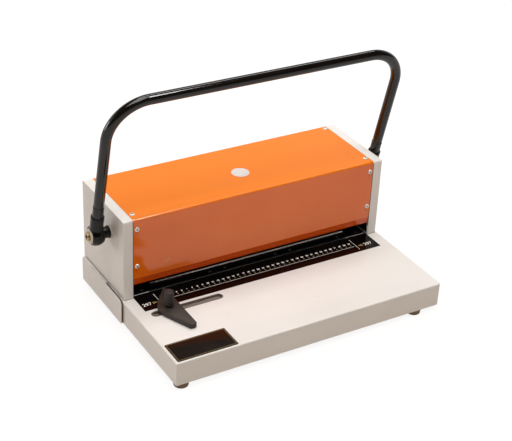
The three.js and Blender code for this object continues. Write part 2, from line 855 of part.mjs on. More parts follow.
// Ram: the pressure bar with its two cam pads
function ramBeam() {
  const left = toolShift - postSpread - ramEndLap;
  const right = toolShift + postSpread + ramEndLap;
  const section = outline([
    [ramFront, ramBottom],
    [ramRear, ramBottom],
    [ramRear, ramTop - ramChamfer],
    [ramRear - ramChamfer, ramTop],
    [ramFront + ramChamfer, ramTop],
    [ramFront, ramTop - ramChamfer],
  ]);
  const pads = [-1, 1].map((side) => {
    const x = toolShift + side * camSpread;
    return alongX(
      outline([
        [padFront, ramTop - ramChamfer],
        [padRear, ramTop - ramChamfer],
        [padRear, padTop - ramChamfer],
        [padRear - ramChamfer, padTop],
        [padFront + ramChamfer, padTop],
        [padFront, padTop - ramChamfer],
      ]),
      x - padWidth / 2,
      x + padWidth / 2,
    );
  });
  const postHoles = postPlaces.map((x) =>
    alongZ(circle(x, postRow, postRadius + runGap, plainSides), ramBottom - cutOverrun, ramTop + cutOverrun),
  );
  return cut(join(alongX(section, left, right), ...pads), ...postHoles);
}

function guidePost() {
  const bottom = tableTop - dieThickness;
  const top = ramTop + postHeadroom;
  const grooveTop = top - 2 * postGrooveHeight;
  return turned([
    [0, bottom],
    [postRadius, bottom],
    [postRadius, grooveTop - postGrooveHeight],
    [postRadius - postGroove, grooveTop - postGrooveHeight],
    [postRadius - postGroove, grooveTop],
    [postRadius, grooveTop],
    [postRadius, top - postChamfer],
    [postRadius - postChamfer, top],
    [0, top],
  ], plainSides);
}

// A return spring round a post: closed end turns, open turns between, one wire.
function springStations() {
  const bottom = tableTop + runGap + wireRadius;
  const top = ramBottom - runGap - wireRadius;
  const turns = openTurns + 2 * closedTurns;
  const openRise = top - bottom - 2 * closedTurns * closedPitch;
  const height = (turn) => {
    const low = Math.min(turn, closedTurns) * closedPitch;
    const high = Math.max(turn - closedTurns - openTurns, 0) * closedPitch;
    const open = THREE.MathUtils.clamp((turn - closedTurns) / openTurns, 0, 1) * openRise;
    return bottom + low + open + high;
  };
  const stations = [];
  const count = Math.round(turns * curlSteps);
  for (let i = 0; i <= count; i += 1) {
    const turn = i / curlSteps;
    const angle = turn * 2 * Math.PI;
    const side = new THREE.Vector3(Math.cos(angle), Math.sin(angle), 0);
    const centre = side.clone().multiplyScalar(coilRadius).setZ(height(turn));
    stations.push({ centre, side, over: axisZ });
  }
  return stations;
}

// The least gap between a wire and its own other turns, measured between its stations.
function leastSelfGap(stations) {
  let least = Infinity;
  stations.forEach((a, i) => {
    stations.slice(i + curlSteps / 2).forEach((b) => {
      least = Math.min(least, a.centre.distanceTo(b.centre) - 2 * wireRadius);
    });
  });
  return least;
}

// Cross shaft and what turns with it, built round the shaft's own axis
const hubPlaces = { left: -armSpread, right: armSpread };
const shaftHalf = armSpread + hubOuter - runGap;

function crossShaft() {
  const bore = boltShankRadius + runGap;
  const depth = boltLength + 2 * runGap;
  return turnedX([
    [0, -shaftHalf + depth],
    [bore, -shaftHalf + depth],
    [bore, -shaftHalf],
    [shaftRadius - shaftChamfer, -shaftHalf],
    [shaftRadius, -shaftHalf + shaftChamfer],
    [shaftRadius, shaftHalf - shaftChamfer],
    [shaftRadius - shaftChamfer, shaftHalf],
    [bore, shaftHalf],
    [bore, shaftHalf - depth],
    [0, shaftHalf - depth],
  ]);
}

// A cam whose working flank is the involute of a circle of radius liftPerRadian, so that the flat pad
// under it sinks by the same amount for every degree of handle travel.
function cam() {
  const points = [];
  const flank = (angle) => {
    const reach = camBase + liftPerRadian * angle;
    const down = -flat - angle;
    return new THREE.Vector2(
      reach * Math.cos(down) + liftPerRadian * Math.sin(down),
      reach * Math.sin(down) - liftPerRadian * Math.cos(down),
    );
  };
  const nose = flank(handleTravel);
  const noseAngle = Math.atan2(nose.y, nose.x);
  const tangent = noseAngle + 2 * Math.PI - Math.acos(camBase / nose.length());
  const start = -flat;
  const span = ((tangent - start) % (2 * Math.PI) + 2 * Math.PI) % (2 * Math.PI);
  const backSteps = 2 * camSteps;
  for (let i = 0; i <= backSteps; i += 1) {
    const angle = start + (span * i) / backSteps;
    points.push(new THREE.Vector2(camBase * Math.cos(angle), camBase * Math.sin(angle)));
  }
  for (let i = camSteps; i >= 0; i -= 1) points.push(flank((handleTravel * i) / camSteps));
  const disc = alongX(points, -camWidth / 2, camWidth / 2);
  const boss = rodX(camBossRadius, -camBossLength / 2, camBossLength / 2);
  const bore = rodX(shaftRadius + runGap, -camBossLength, camBossLength);
  return cut(join(disc, boss), bore);
}

// A flanged bush in the left frame and panel; the right one is its mirror image.
function shaftBush() {
  const outerFace = -halfPanels - bushFlange;
  const innerFace = -halfPanels + panelSheet + 2 * runGap + frameSheet;
  return turnedX([
    [shaftRadius + runGap, outerFace],
    [bushFlangeRadius, outerFace],
    [bushFlangeRadius, -halfPanels],
    [bushRadius, -halfPanels],
    [bushRadius, innerFace],
    [shaftRadius + runGap, innerFace],
    [shaftRadius + runGap, outerFace],
  ]);
}

// The spacer that fills the longer gap between the left panel and the left hub.
function spacerCollar() {
  const outerFace = -armSpread + hubInner + runGap;
  const innerFace = -halfPanels - bushFlange - runGap - shaftShift;
  return turnedX([
    [shaftRadius + runGap, outerFace],
    [spacerRadius, outerFace],
    [spacerRadius, innerFace - spacerRim],
    [spacerRimRadius, innerFace - spacerRim],
    [spacerRimRadius, innerFace],
    [shaftRadius + runGap, innerFace],
    [shaftRadius + runGap, outerFace],
  ]);
}

// A ball hub with a socket for one arm; its outer side faces left.
function armHub() {
  const low = Math.asin(hubOuter / hubBallRadius);
  const high = Math.asin(hubInner / hubBallRadius);
  const profile = [[0, -hubOuter]];
  for (let i = 0; i <= hubArcSteps; i += 1) {
    const angle = -low + ((low + high) * i) / hubArcSteps;
    profile.push([hubBallRadius * Math.cos(angle), hubBallRadius * Math.sin(angle)]);
  }
  profile.push([0, hubInner]);
  const ball = turnedX(profile, hubSides);
  const collar = rod(collarRadius, washerRadius + runGap, collarTop, hubSides);
  const socket = rod(ferruleRadius + runGap, socketFloor, collarTop + cutOverrun, hubSides);
  const shaftBore = rodX(shaftRadius + runGap, -hubBallRadius - cutOverrun, hubBallRadius + cutOverrun);
  return cut(join(ball, collar), socket, shaftBore);
}

// The plug between hub and tube, with a groove where the tube begins.
function armFerrule() {
  const bottom = socketFloor + runGap;
  const neckTop = ferruleTop + neckLength;
  const spigot = tubeRadius - tubeWall - runGap;
  return turned([
    [0, bottom],
    [ferruleRadius - ferruleChamfer, bottom],
    [ferruleRadius, bottom + ferruleChamfer],
    [ferruleRadius, ferruleTop - ferruleChamfer],
    [ferruleRadius - ferruleChamfer, ferruleTop],
    [neckRadius, ferruleTop],
    [neckRadius, neckTop],
    [spigot, neckTop],
    [spigot, neckTop + spigotLength],
    [0, neckTop + spigotLength],
  ], hubSides);
}

// The bent tube: up one arm, across the grip and down the other arm.
function handleTube() {
  const stations = [];
  const station = (x, z, heading) => {
    const side = new THREE.Vector3(Math.sin(heading), 0, -Math.cos(heading));
    stations.push({ centre: new THREE.Vector3(x, 0, z), side, over: axisY });
  };
  const bottom = ferruleTop + neckLength + runGap;
  const bendX = armSpread - handleBend;
  const bendZ = handleReach - handleBend;
  station(-armSpread, bottom, flat);
  for (let i = 0; i <= bendSteps; i += 1) {
    const angle = (flat * i) / bendSteps;
    station(-bendX - handleBend * Math.cos(angle), bendZ + handleBend * Math.sin(angle), flat - angle);
  }
  for (let i = 0; i <= bendSteps; i += 1) {
    const angle = flat - (flat * i) / bendSteps;
    station(bendX + handleBend * Math.cos(angle), bendZ + handleBend * Math.sin(angle), angle - flat);
  }
  station(armSpread, bottom, -flat);
  return swept(stations, tubeRadius, tubeSides, tubeRadius - tubeWall, tubeBoreSides);
}

// The left end washer and bolt; the right ones are mirror images.
function endWasher() {
  const inner = -armSpread - hubOuter - runGap;
  const outer = inner - washerThickness;
  const bore = boltShankRadius + runGap;
  return turnedX([
    [bore, outer],
    [washerRadius, outer],
    [washerRadius, inner],
    [bore, inner],
    [bore, outer],
  ], hubSides);
}

function hubBolt() {
  const seat = -armSpread - hubOuter - 2 * runGap - washerThickness;
  const face = seat - boltHeadHeight;
  const head = turnedX([
    [0, face],
    [boltHeadRadius - boltHeadEdge, face],
    [boltHeadRadius, face + boltHeadEdge],
    [boltHeadRadius, seat],
    [0, seat],
  ]);
  const socket = rodX(boltSocketRadius, face - cutOverrun, face + boltSocketDepth, hexSides);
  const shank = rodX(boltShankRadius, face + boltSocketDepth, -shaftHalf + boltLength, plainSides);
  return join(cut(head, socket), shank);
}

// Chip tray: an open pan on a face sheet that stands off the skirt, folded in at its top and foot
function chipTray() {
  const faceInner = -baseLeft - trayFaceGap;
  const faceOuter = faceInner - traySheet;
  const faceTop = tableTop + trayFaceRise;
  const right = faceOuter + trayLength;
  const foldRear = trayFaceRear - trayFaceSmallRadius;
  const corners = [trayFaceSmallRadius, trayFaceSmallRadius, trayFaceSmallRadius, trayFaceRadius];
  const faceOutline = rectangle(trayFaceFront, skirtBottom, trayFaceRear, faceTop, corners);
  const face = alongX(faceOutline, faceOuter, faceInner);
  const topFold = block(
    faceOuter,
    trayFoldFront,
    faceTop - traySheet,
    -halfPanels - trayFoldGap,
    foldRear,
    faceTop,
  );
  const footFold = block(
    faceOuter,
    trayFaceFront + trayFaceSmallRadius,
    skirtBottom,
    -baseLeft - trayFoldGap,
    foldRear,
    skirtBottom + traySheet,
  );
  const bridge = block(faceOuter, trayFront, trayFloor, -baseLeft, trayRear, trayFloor + traySheet);
  const panLeft = -baseLeft - trayFoldGap;
  const pan = cut(
    block(panLeft, trayFront, trayFloor, right, trayRear, trayFloor + trayWall),
    block(
      panLeft + traySheet,
      trayFront + traySheet,
      trayFloor + traySheet,
      right - traySheet,
      trayRear - traySheet,
      trayFloor + trayWall + cutOverrun,
    ),
  );
  return join(face, topFold, footFold, bridge, pan);
}

// A rail hung under the table, with a shelf that the tray's floor slides on.
function trayRail(side) {
  const panEdge = side < 0 ? trayFront : trayRear;
  const web = panEdge + side * 2 * runGap;
  const outside = web + side * railSheet;
  const shelfBottom = skirtBottom + baseSheet + runGap;
  const top = tableTop - baseSheet;
  const corners = [
    [web - side * railShelf, shelfBottom],
    [outside, shelfBottom],
    [outside, top - railSheet],
    [outside + side * railFlange, top - railSheet],
    [outside + side * railFlange, top],
    [web, top],
    [web, shelfBottom + railSheet],
    [web - side * railShelf, shelfBottom + railSheet],
  ];
  return alongX(outline(corners), -railHalfLength, railHalfLength);
}

// Edge guide: a kite-shaped plate whose straight right edge meets the paper, drawn round its clamp axis
function guideOutline(inset) {
  const edge = guideEdge - inset;
  return outline([
    [edge, guideTail - inset, guideTailRadius - inset],
    [edge - guideTailWidth + inset, guideTail - inset, guideTailRadius - inset],
    [-guideBulge + inset, guideBulgeRow, guideBulgeRadius - inset],
    [edge - guideNoseWidth + inset, -guideNose + inset, guideNoseRadius - inset],
    [edge, -guideNose + inset, guideNoseRadius - inset],
  ], 2 * arcSteps);
}

function edgeGuide() {
  const bottom = scaleThickness + runGap;
  const lower = alongZ(guideOutline(0), bottom, bottom + guideThickness - guideBevel);
  const upper = alongZ(
    guideOutline(guideBevel),
    bottom + guideThickness - guideBevel - weldDistance,
    bottom + guideThickness,
  );
  const studHole = rod(studRadius + runGap, -cutOverrun, bottom + guideThickness + cutOverrun, plainSides);
  return cut(join(lower, upper), studHole);
}

// The clamp knob and its stud, one moulded piece.
function guideKnob() {
  const seat = scaleThickness + 2 * runGap + guideThickness;
  const skirt = seat + knobNeck;
  const top = seat + knobHeight;
  const studEnd = -baseSheet - runGap - nutThickness;
  return turned([
    [0, studEnd],
    [studRadius, studEnd],
    [studRadius, seat],
    [knobNeckRadius, seat],
    [knobNeckRadius, skirt],
    [knobRadius, skirt],
    [knobTopRadius, top - knobEdge],
    [knobTopRadius - knobEdge, top],
    [knobDishRadius, top],
    [knobDishRadius - knobDish, top - knobDish],
    [0, top - knobDish],
  ]);
}

function guideNut() {
  const top = -baseSheet - runGap;
  const half = nutLength / 2;
  const deep = nutWidth / 2;
  const plan = rectangle(-half, -deep, half, deep, guideTailRadius);
  return alongZ(plan, top - nutThickness, top, [circle(0, 0, studRadius + runGap, plainSides)]);
}

// Assembly
add("base_shell", baseShell(), creamPaint);
const footBody = foot();
footPlaces().forEach(({ name, x, y }) => {
  add(name, footBody, brownRubber).position.set(x, y, 0);
});
add("hole_scale", holeScale(), scaleBlack);
add("front_plate", frontPlate(), scaleBlack);
add("slot_channel", slotChannel(), zinc);

add("side_panel_left", sidePanel(), creamPaint);
add("side_panel_right", mirrored(sidePanel()), creamPaint);
add("side_frame_left", sideFrame(), blackSteel);
add("side_frame_right", mirrored(sideFrame()), blackSteel);
add("cover", cover(), orangePaint);
const screwBody = panScrew();
coverScrewPlaces().forEach((place, i) => {
  add("cover_screw_" + (i + 1), turnTo(screwBody, place), zinc);
});
add("cover_disc", rod(discRadius, 0, discThickness, discSides), whiteLabel).position.set(
  discCentreX,
  discCentreY,
  housingTop,
);

add("die_plate", diePlate(), blackSteel);
add("die_bearer_left", dieBearer(-1), blackSteel);
add("die_bearer_right", dieBearer(1), blackSteel);
add("paper_stop", paperStop(), brightSteel);
["left", "middle", "right"].forEach((place, i) => {
  add("guide_block_" + place, guideBlock(i), blackSteel);
  add("punch_unit_" + place, punchUnit(i), brightSteel);
});
add("ram_beam", ramBeam(), blackSteel);
const stations = springStations();
console.log("least gap between a spring's own turns: " + leastSelfGap(stations).toFixed(2) + " mm");
["left", "right"].forEach((place, i) => {
  const group = groupAt(postPlaces[i], postRow, 0);
  add("guide_post_" + place, guidePost(), brightSteel, group);
  add("return_spring_" + place, swept(stations, wireRadius, wireSides), springSteel, group);
});

add("shaft_bush_left", shaftBush(), nylon).position.set(0, shaftRow, shaftZ);
add("shaft_bush_right", mirrored(shaftBush()), nylon).position.set(0, shaftRow, shaftZ);
const shaftGroup = groupAt(shaftShift, shaftRow, shaftZ);
add("cross_shaft", crossShaft(), brightSteel, shaftGroup);
add("spacer_collar", spacerCollar(), blackPaint, shaftGroup);
["left", "right"].forEach((place, i) => {
  const side = i * 2 - 1;
  const x = toolShift + side * camSpread - shaftShift;
  add("cam_" + place, cam(), brightSteel, shaftGroup).position.set(x, 0, 0);
});

const handleGroup = groupAt(shaftShift, shaftRow, shaftZ);
handleGroup.rotation.x = lean;
add("handle_tube", handleTube(), blackPaint, handleGroup);
Object.entries(hubPlaces).forEach(([place, x]) => {
  const hub = add("arm_hub_" + place, armHub(), blackPaint, handleGroup);
  hub.position.set(x, 0, 0);
  hub.rotation.z = place === "left" ? 0 : Math.PI;
  add("arm_ferrule_" + place, armFerrule(), blackPaint, handleGroup).position.set(x, 0, 0);
});
add("end_washer_left", endWasher(), nylon, handleGroup);
add("end_washer_right", mirrored(endWasher()), nylon, handleGroup);
add("hub_bolt_left", hubBolt(), brass, handleGroup);
add("hub_bolt_right", mirrored(hubBolt()), brass, handleGroup);

add("chip_tray", chipTray(), creamPaint);
add("tray_rail_front", trayRail(-1), zinc);
add("tray_rail_rear", trayRail(1), zinc);

const guideGroup = groupAt(guideX, slotRow, tableTop);
add("edge_guide", edgeGuide(), darkPlastic, guideGroup);
add("guide_knob", guideKnob(), darkPlastic, guideGroup);
add("guide_nut", guideNut(), zinc, guideGroup);

// The origin goes under the middle of the whole: the hub bolts bound it left and right,
// the front skirt in front and the rear screw heads behind.
root.position.set(-shaftShift, (tableDepth - housingDepth - screwHeadHeight) / 2, 0);
root.name = "coil_binding_machine";

export default root;
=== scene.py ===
import json
from math import acos, asin, cos, pi, radians, sin, sqrt, tan

import bmesh
import bpy
import numpy as np
from mathutils import Matrix, Vector

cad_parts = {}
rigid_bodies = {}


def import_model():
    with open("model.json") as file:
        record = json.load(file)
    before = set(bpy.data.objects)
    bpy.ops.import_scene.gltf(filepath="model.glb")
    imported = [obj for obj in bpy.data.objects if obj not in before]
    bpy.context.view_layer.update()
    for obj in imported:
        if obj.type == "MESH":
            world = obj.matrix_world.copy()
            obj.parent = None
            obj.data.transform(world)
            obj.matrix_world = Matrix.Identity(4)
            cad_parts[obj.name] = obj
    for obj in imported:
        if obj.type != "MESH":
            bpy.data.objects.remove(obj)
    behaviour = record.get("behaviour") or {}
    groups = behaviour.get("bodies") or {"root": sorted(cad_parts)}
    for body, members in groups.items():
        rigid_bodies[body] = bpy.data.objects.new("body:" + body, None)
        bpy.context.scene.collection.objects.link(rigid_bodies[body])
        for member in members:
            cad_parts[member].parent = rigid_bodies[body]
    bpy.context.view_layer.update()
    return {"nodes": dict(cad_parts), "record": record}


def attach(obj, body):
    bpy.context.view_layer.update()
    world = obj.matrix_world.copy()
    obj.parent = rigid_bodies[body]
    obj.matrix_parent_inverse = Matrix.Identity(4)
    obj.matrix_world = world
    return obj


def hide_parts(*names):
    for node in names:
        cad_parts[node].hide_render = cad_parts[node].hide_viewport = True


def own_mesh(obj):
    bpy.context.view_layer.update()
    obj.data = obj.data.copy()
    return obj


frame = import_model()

mm = 0.001
print("stage: frame loaded,", len(frame["nodes"]), "solids")


# A dictionary whose entries can be read as names too. Each function knows the one it is given as its.
class Named(dict):
    __getattr__ = dict.__getitem__


# Where the housing's own drawing frame lies: the middle between the side panels, at their front faces,
# on the table. Places in the dictionaries below are millimetres from there.
housingFoot = np.array((4.3, 12.05, 40.0))


def atHousing(points):
    return (np.asarray(points, float) + housingFoot) * mm


def addObject(name, data):
    added = bpy.data.objects.new(name, data)
    bpy.context.scene.collection.objects.link(added)
    return added


# The camera: a place in metres, then heading, tilt and roll in degrees, as the photograph was taken.
cameraSet = Named(
    place=(-0.75224, -1.21014, 0.9386), heading=31.66, tilt=-30.04, roll=2.78, lens=90.64, sensor=36,
    nearest=0.05, farthest=60,
)


# Forward comes from heading and tilt, right is forward crossed with up, and both are turned by the roll.
def makeCamera(its):
    heading, tilt, roll = (radians(its[key]) for key in ("heading", "tilt", "roll"))
    forward = Vector((sin(heading) * cos(tilt), cos(heading) * cos(tilt), sin(tilt)))
    right = forward.cross(Vector((0, 0, 1))).normalized()
    over = right.cross(forward)
    rolledRight = cos(roll) * right + sin(roll) * over
    rolledOver = -sin(roll) * right + cos(roll) * over
    data = bpy.data.cameras.new("photoCamera")
    data.lens = its.lens
    data.sensor_width = its.sensor
    data.clip_start = its.nearest
    data.clip_end = its.farthest
    camera = addObject("photoCamera", data)
    turn = Matrix((rolledRight, rolledOver, -forward)).transposed().to_4x4()
    camera.matrix_world = Matrix.Translation(its.place) @ turn
    bpy.context.scene.camera = camera


makeCamera(cameraSet)
print("stage: camera set")

# Finishes
# The parts of a noise's range over which a pattern fades in, and the noises that finishes share
spans = Named(
    patch=(0.35, 0.65), stain=(0.35, 0.7), tone=(0.3, 0.7), dust=(0.62, 0.72), rub=(0.55, 0.75),
    wander=(0.3, 0.6), scuff=0.08,
)
noises = Named(
    rough=0.55, coatSmear=40, mouldedSmear=90, inkSmear=300, inkTooth=2500, inkHeight=0.000004,
    lineWander=60,
)


# Fills or links a node's inputs. A node given as a value stands for its first output.
def fill(node, inputs):
    for key, value in inputs.items():
        if isinstance(value, bpy.types.Node):
            value = value.outputs[0]
        if isinstance(value, bpy.types.NodeSocket):
            tree.links.new(value, node.inputs[key])
        else:
            node.inputs[key].default_value = value


# A node of one kind, with its fields set and its inputs filled or linked.
def addNode(kind, inputs=None, **fields):
    node = tree.nodes.new("ShaderNode" + kind)
    for field, value in fields.items():
        setattr(node, field, value)
    fill(node, inputs or {})
    return node


# Empties the node tree of a material or a world. The nodes that follow go there, first its output.
def startTree(owner, outputKind):
    global tree
    owner.use_nodes = True
    tree = owner.node_tree
    tree.nodes.clear()
    return addNode(outputKind)


# An empty finish with its shader and the place on the piece, in metres.
def startFinish(name):
    output = startTree(bpy.data.materials.new(name), "OutputMaterial")
    shader = addNode("BsdfPrincipled")
    fill(output, {0: shader})
    return shader, addNode("TexCoord").outputs["Object"]


# Noise between 0 and 1; stretch squeezes the pattern along each axis.
def grain(where, scale, detail=3.0, stretch=(1, 1, 1), shift=(0, 0, 0)):
    mapped = addNode("Mapping", {"Vector": where, "Location": shift, "Scale": stretch})
    fields = {"Vector": mapped, "Scale": scale, "Detail": detail, "Roughness": noises.rough}
    return addNode("TexNoise", fields)


# A value carried from one range to another, held at its ends.
def ranged(value, low, high, toLow=0.0, toHigh=1.0):
    fields = {"Value": value, "From Min": low, "From Max": high, "To Min": toLow, "To Max": toHigh}
    return addNode("MapRange", fields, clamp=True)


def rgba(colour):
    return (*colour, 1.0)


def blended(factor, first, second):
    first, second = (rgba(colour) if isinstance(colour, tuple) else colour for colour in (first, second))
    return addNode("Mix", {0: factor, 6: first, 7: second}, data_type="RGBA").outputs[2]


def sums(operation, first, second):
    return addNode("Math", {0: first, 1: second}, operation=operation)


# A bump whose height is a noise times a distance in metres, on top of another bump if there is one.
def bumped(height, distance, below=None):
    fields = {"Height": height, "Distance": distance, "Strength": 1.0}
    if below is not None:
        fields["Normal"] = below
    return addNode("Bump", fields)


# Stoved paint: colour drifts to a second tint in broad patches, scuffs show in sparse specks, and it has a
# slow wave and a fine peel: wave and peel are a scale and a height in metres, scuff a scale, the noise it
# starts at and its share. On the cover light and shade are painted in: above a height it is painted a
# lighter, yellower orange for the light on its top, and its lower front edge a dark red for the shade and
# the dark reflection there.
def coatFinish(name, **given):
    its = Named(given)
    shader, where = startFinish(name)
    patches = ranged(grain(where, its.patch, 2.0), *spans.patch)
    colour = blended(patches, its.colour, its.tint)
    # Painted light: the top is painted a lighter, yellower orange, and the lower front band a dark red for
    # shade and a dark reflection.
    if "fadedColour" in its:
        split = addNode("SeparateXYZ", {0: where}).outputs
        colour = blended(ranged(split[2], *its.fadedFrom), colour, its.fadedColour)
        foot = ranged(split[2], *its.stainFrom, 1.0, 0.0)
        front = ranged(split[1], *its.stainUpTo, its.stainDepth, 0.0)
        colour = blended(sums("MULTIPLY", foot, front), colour, its.stainColour)
    scuffScale, scuffFrom, scuffDepth = its.scuff
    scuffs = grain(where, scuffScale, 4.0, its.get("scuffStretch", (1, 1, 1)), (3, 1, 2))
    scuffed = ranged(scuffs, scuffFrom, scuffFrom + spans.scuff, 0.0, scuffDepth)
    smears = grain(where, noises.coatSmear, 4.0, shift=(5, 0, 0))
    (wave, waveHeight), (peel, peelHeight) = its.wave, its.peel
    slow = bumped(grain(where, wave, 1.0), waveHeight)
    fill(shader, {
        "Base Color": blended(scuffed, colour, its.scuffColour),
        "Roughness": ranged(smears, *spans.tone, *its.rough),
        "Normal": bumped(grain(where, peel, 2.0), peelHeight, slow),
        "IOR": its.get("ior", 1.5),
    })


# Worked metal: a base tint with drifting stains, streaks along one direction in roughness and bump,
# painted shade in the hollows that a piece marks, and a worn edge with a painted glint where z - y, in
# metres, passes a line.
def metalFinish(name, **given):
    its = Named(given)
    shader, where = startFinish(name)
    stains = ranged(grain(where, its.stain, 4.0), *spans.stain)
    colour = blended(stains, its.colour, its.tint)
    streaks = grain(where, its.streak, 3.0, its.along)
    rough = ranged(streaks, *spans.tone, *its.rough)
    metal = its.metallic
    # Painted highlight: along the edge the colour turns near white as a glint; where a reach along x is
    # given, the glint is dimmed in the middle as painted shade.
    if "brightLine" in its:
        split = addNode("SeparateXYZ", {0: where}).outputs
        rise = sums("SUBTRACT", split[2], split[1])
        uneven = grain(where, noises.lineWander, 3.0, (0.4, 1, 1))
        wander = ranged(uneven, *spans.wander, its.brightWander, 0.0)
        start, stop = (its.brightLine - below for below in its.brightBelow)
        bright = ranged(sums("SUBTRACT", rise, wander), start, stop)
        if "brightAlong" in its:
            fromMiddle = sums("ABSOLUTE", split[0], 0.0)
            bright = sums("MULTIPLY", bright, ranged(fromMiddle, *its.brightAlong))
        colour = blended(bright, colour, its.brightColour)
        dull = sums("MULTIPLY", rough, sums("SUBTRACT", 1.0, bright))
        rough = sums("ADD", dull, sums("MULTIPLY", bright, its.brightRoughness))
        metal = ranged(bright, 0.0, 1.0, its.metallic, its.brightMetallic)
    # Painted shade: points that a piece marks as hollow take a darker colour.
    if "grime" in its:
        hollow = addNode("Attribute", attribute_name="hollow").outputs["Fac"]
        colour = blended(hollow, colour, its.grime)
    normal = bumped(streaks, its.depth)
    fill(shader, {"Base Color": colour, "Roughness": rough, "Metallic": metal, "Normal": normal})


# Moulded plastic, rubber, paper, and dark strips of painted gap shade: two tones in small grains, specks of
# dust and a pebbled bump.
def mouldedFinish(name, **given):
    its = Named(given)
    shader, where = startFinish(name)
    tone = ranged(grain(where, its.drift), *spans.tone)
    pebble = grain(where, its.pebble)
    dust = ranged(pebble, *spans.dust, 0.0, its.dust)
    smears = grain(where, noises.mouldedSmear, shift=(1, 4, 2))
    fill(shader, {
        "Base Color": blended(dust, blended(tone, its.colour, its.tint), its.dustColour),
        "Roughness": ranged(smears, *spans.tone, *its.rough),
        "Normal": bumped(pebble, its.height),
    })


# Printing ink: one tone, thinned a little where the print is rubbed.
def inkFinish(name, **given):
    its = Named(given)
    shader, where = startFinish(name)
    rubbed = ranged(grain(where, its.rub, 4.0), *spans.rub, 0.0, its.rubDepth)
    smears = grain(where, noises.inkSmear)
    fill(shader, {
        "Base Color": blended(rubbed, its.colour, its.under),
        "Roughness": ranged(smears, *spans.tone, *its.rough),
        "Metallic": its.metallic,
        "Normal": bumped(grain(where, noises.inkTooth), noises.inkHeight),
    })


coatFinish(
    "creamCoat", colour=(0.8, 0.766, 0.716), tint=(0.77, 0.737, 0.687), patch=9, scuff=(60, 0.68, 0.25),
    scuffColour=(0.62, 0.55, 0.46), rough=(0.3, 0.4), wave=(22, 0.0004), peel=(900, 0.00001),
)
# The cover's colour carries painted light on its top, and painted shade and reflection on its lower front
# band.
coatFinish(
    "orangeCoat", colour=(0.8, 0.141, 0.005), tint=(0.84, 0.164, 0.007), patch=8,
    fadedColour=(0.91, 0.215, 0.003), fadedFrom=(0.1502, 0.1524), stainColour=(0.64, 0.06, 0.001),
    stainFrom=(0.068, 0.0683), stainUpTo=(0.0142, 0.0155), stainDepth=0.8, scuffStretch=(0.25, 1, 1),
    scuff=(140, 0.72, 0.35), scuffColour=(0.96, 0.42, 0.16), rough=(0.09, 0.14), ior=1.62,
    wave=(18, 0.0002), peel=(700, 0.000006),
)
coatFinish(
    "tubeEnamel", colour=(0.0055, 0.004, 0.003), tint=(0.009, 0.0065, 0.005), patch=30,
    scuff=(260, 0.74, 0.6), scuffColour=(0.32, 0.29, 0.26), rough=(0.08, 0.12), wave=(40, 0.00003),
    peel=(600, 0.000002),
)
metalFinish(
    "blackenedSteel", colour=(0.012, 0.012, 0.013), tint=(0.02, 0.018, 0.017), metallic=0.35, stain=45,
    streak=500, along=(0.08, 1, 1), rough=(0.34, 0.5), depth=0.00001,
)
metalFinish(
    "groundSteel", colour=(0.56, 0.55, 0.53), tint=(0.46, 0.45, 0.43), metallic=1.0, stain=60, streak=900,
    along=(1, 1, 0.06), rough=(0.18, 0.34), depth=0.000008,
)
metalFinish(
    "drawnWire", colour=(0.34, 0.33, 0.32), tint=(0.22, 0.21, 0.2), metallic=1.0, stain=200, streak=1500,
    along=(1, 1, 0.3), rough=(0.25, 0.4), depth=0.000006,
)
# Zinc and brass take painted shade in the marked screw recesses and bolt sockets.
metalFinish(
    "zincPlate", colour=(0.9, 0.87, 0.8), tint=(0.78, 0.74, 0.66), metallic=0.5, stain=120, streak=700,
    along=(0.3, 1, 1), rough=(0.2, 0.34), depth=0.000012, grime=(0.03, 0.02, 0.012),
)
metalFinish(
    "turnedBrass", colour=(0.52, 0.37, 0.18), tint=(0.32, 0.215, 0.1), metallic=1.0, stain=260,
    streak=1600, along=(0.2, 1, 1), rough=(0.2, 0.34), depth=0.00001, grime=(0.03, 0.02, 0.01),
)
mouldedFinish(
    "guidePlastic", colour=(0.022, 0.015, 0.0105), tint=(0.035, 0.0245, 0.0175), drift=120, pebble=1400,
    dust=0.3, dustColour=(0.17, 0.15, 0.13), rough=(0.45, 0.62), height=0.00006,
)
mouldedFinish(
    "paleNylon", colour=(0.74, 0.68, 0.57), tint=(0.62, 0.55, 0.44), drift=150, pebble=900, dust=0.2,
    dustColour=(0.5, 0.44, 0.34), rough=(0.4, 0.55), height=0.00002,
)
mouldedFinish(
    "footRubber", colour=(0.24, 0.165, 0.105), tint=(0.17, 0.115, 0.072), drift=90, pebble=800, dust=0.35,
    dustColour=(0.26, 0.18, 0.11), rough=(0.55, 0.75), height=0.00008,
)
coatFinish(
    "scaleFilm", colour=(0.002, 0.0016, 0.0014), tint=(0.004, 0.0028, 0.0022), patch=16,
    scuff=(420, 0.74, 0.5), scuffColour=(0.12, 0.11, 0.1), rough=(0.1, 0.16), wave=(30, 0.00012),
    peel=(1200, 0.000004), ior=1.33,
)
mouldedFinish(
    "paperDisc", colour=(0.72, 0.655, 0.63), tint=(0.69, 0.625, 0.6), drift=60, pebble=2200, dust=0.12,
    dustColour=(0.7, 0.68, 0.64), rough=(0.5, 0.62), height=0.00001,
)
# The die and the blocks share this look, with a painted glint colour for their front edges.
edgeLook = dict(
    colour=(0.01, 0.01, 0.011), tint=(0.018, 0.016, 0.015), metallic=0.3, stain=45,
    streak=500, along=(0.08, 1, 1), rough=(0.26, 0.42), depth=0.000008, brightColour=(0.85, 0.83, 0.79),
    brightRoughness=0.4, brightMetallic=0.15, brightWander=0.00012, brightBelow=(0.00022, 0.00004),
)
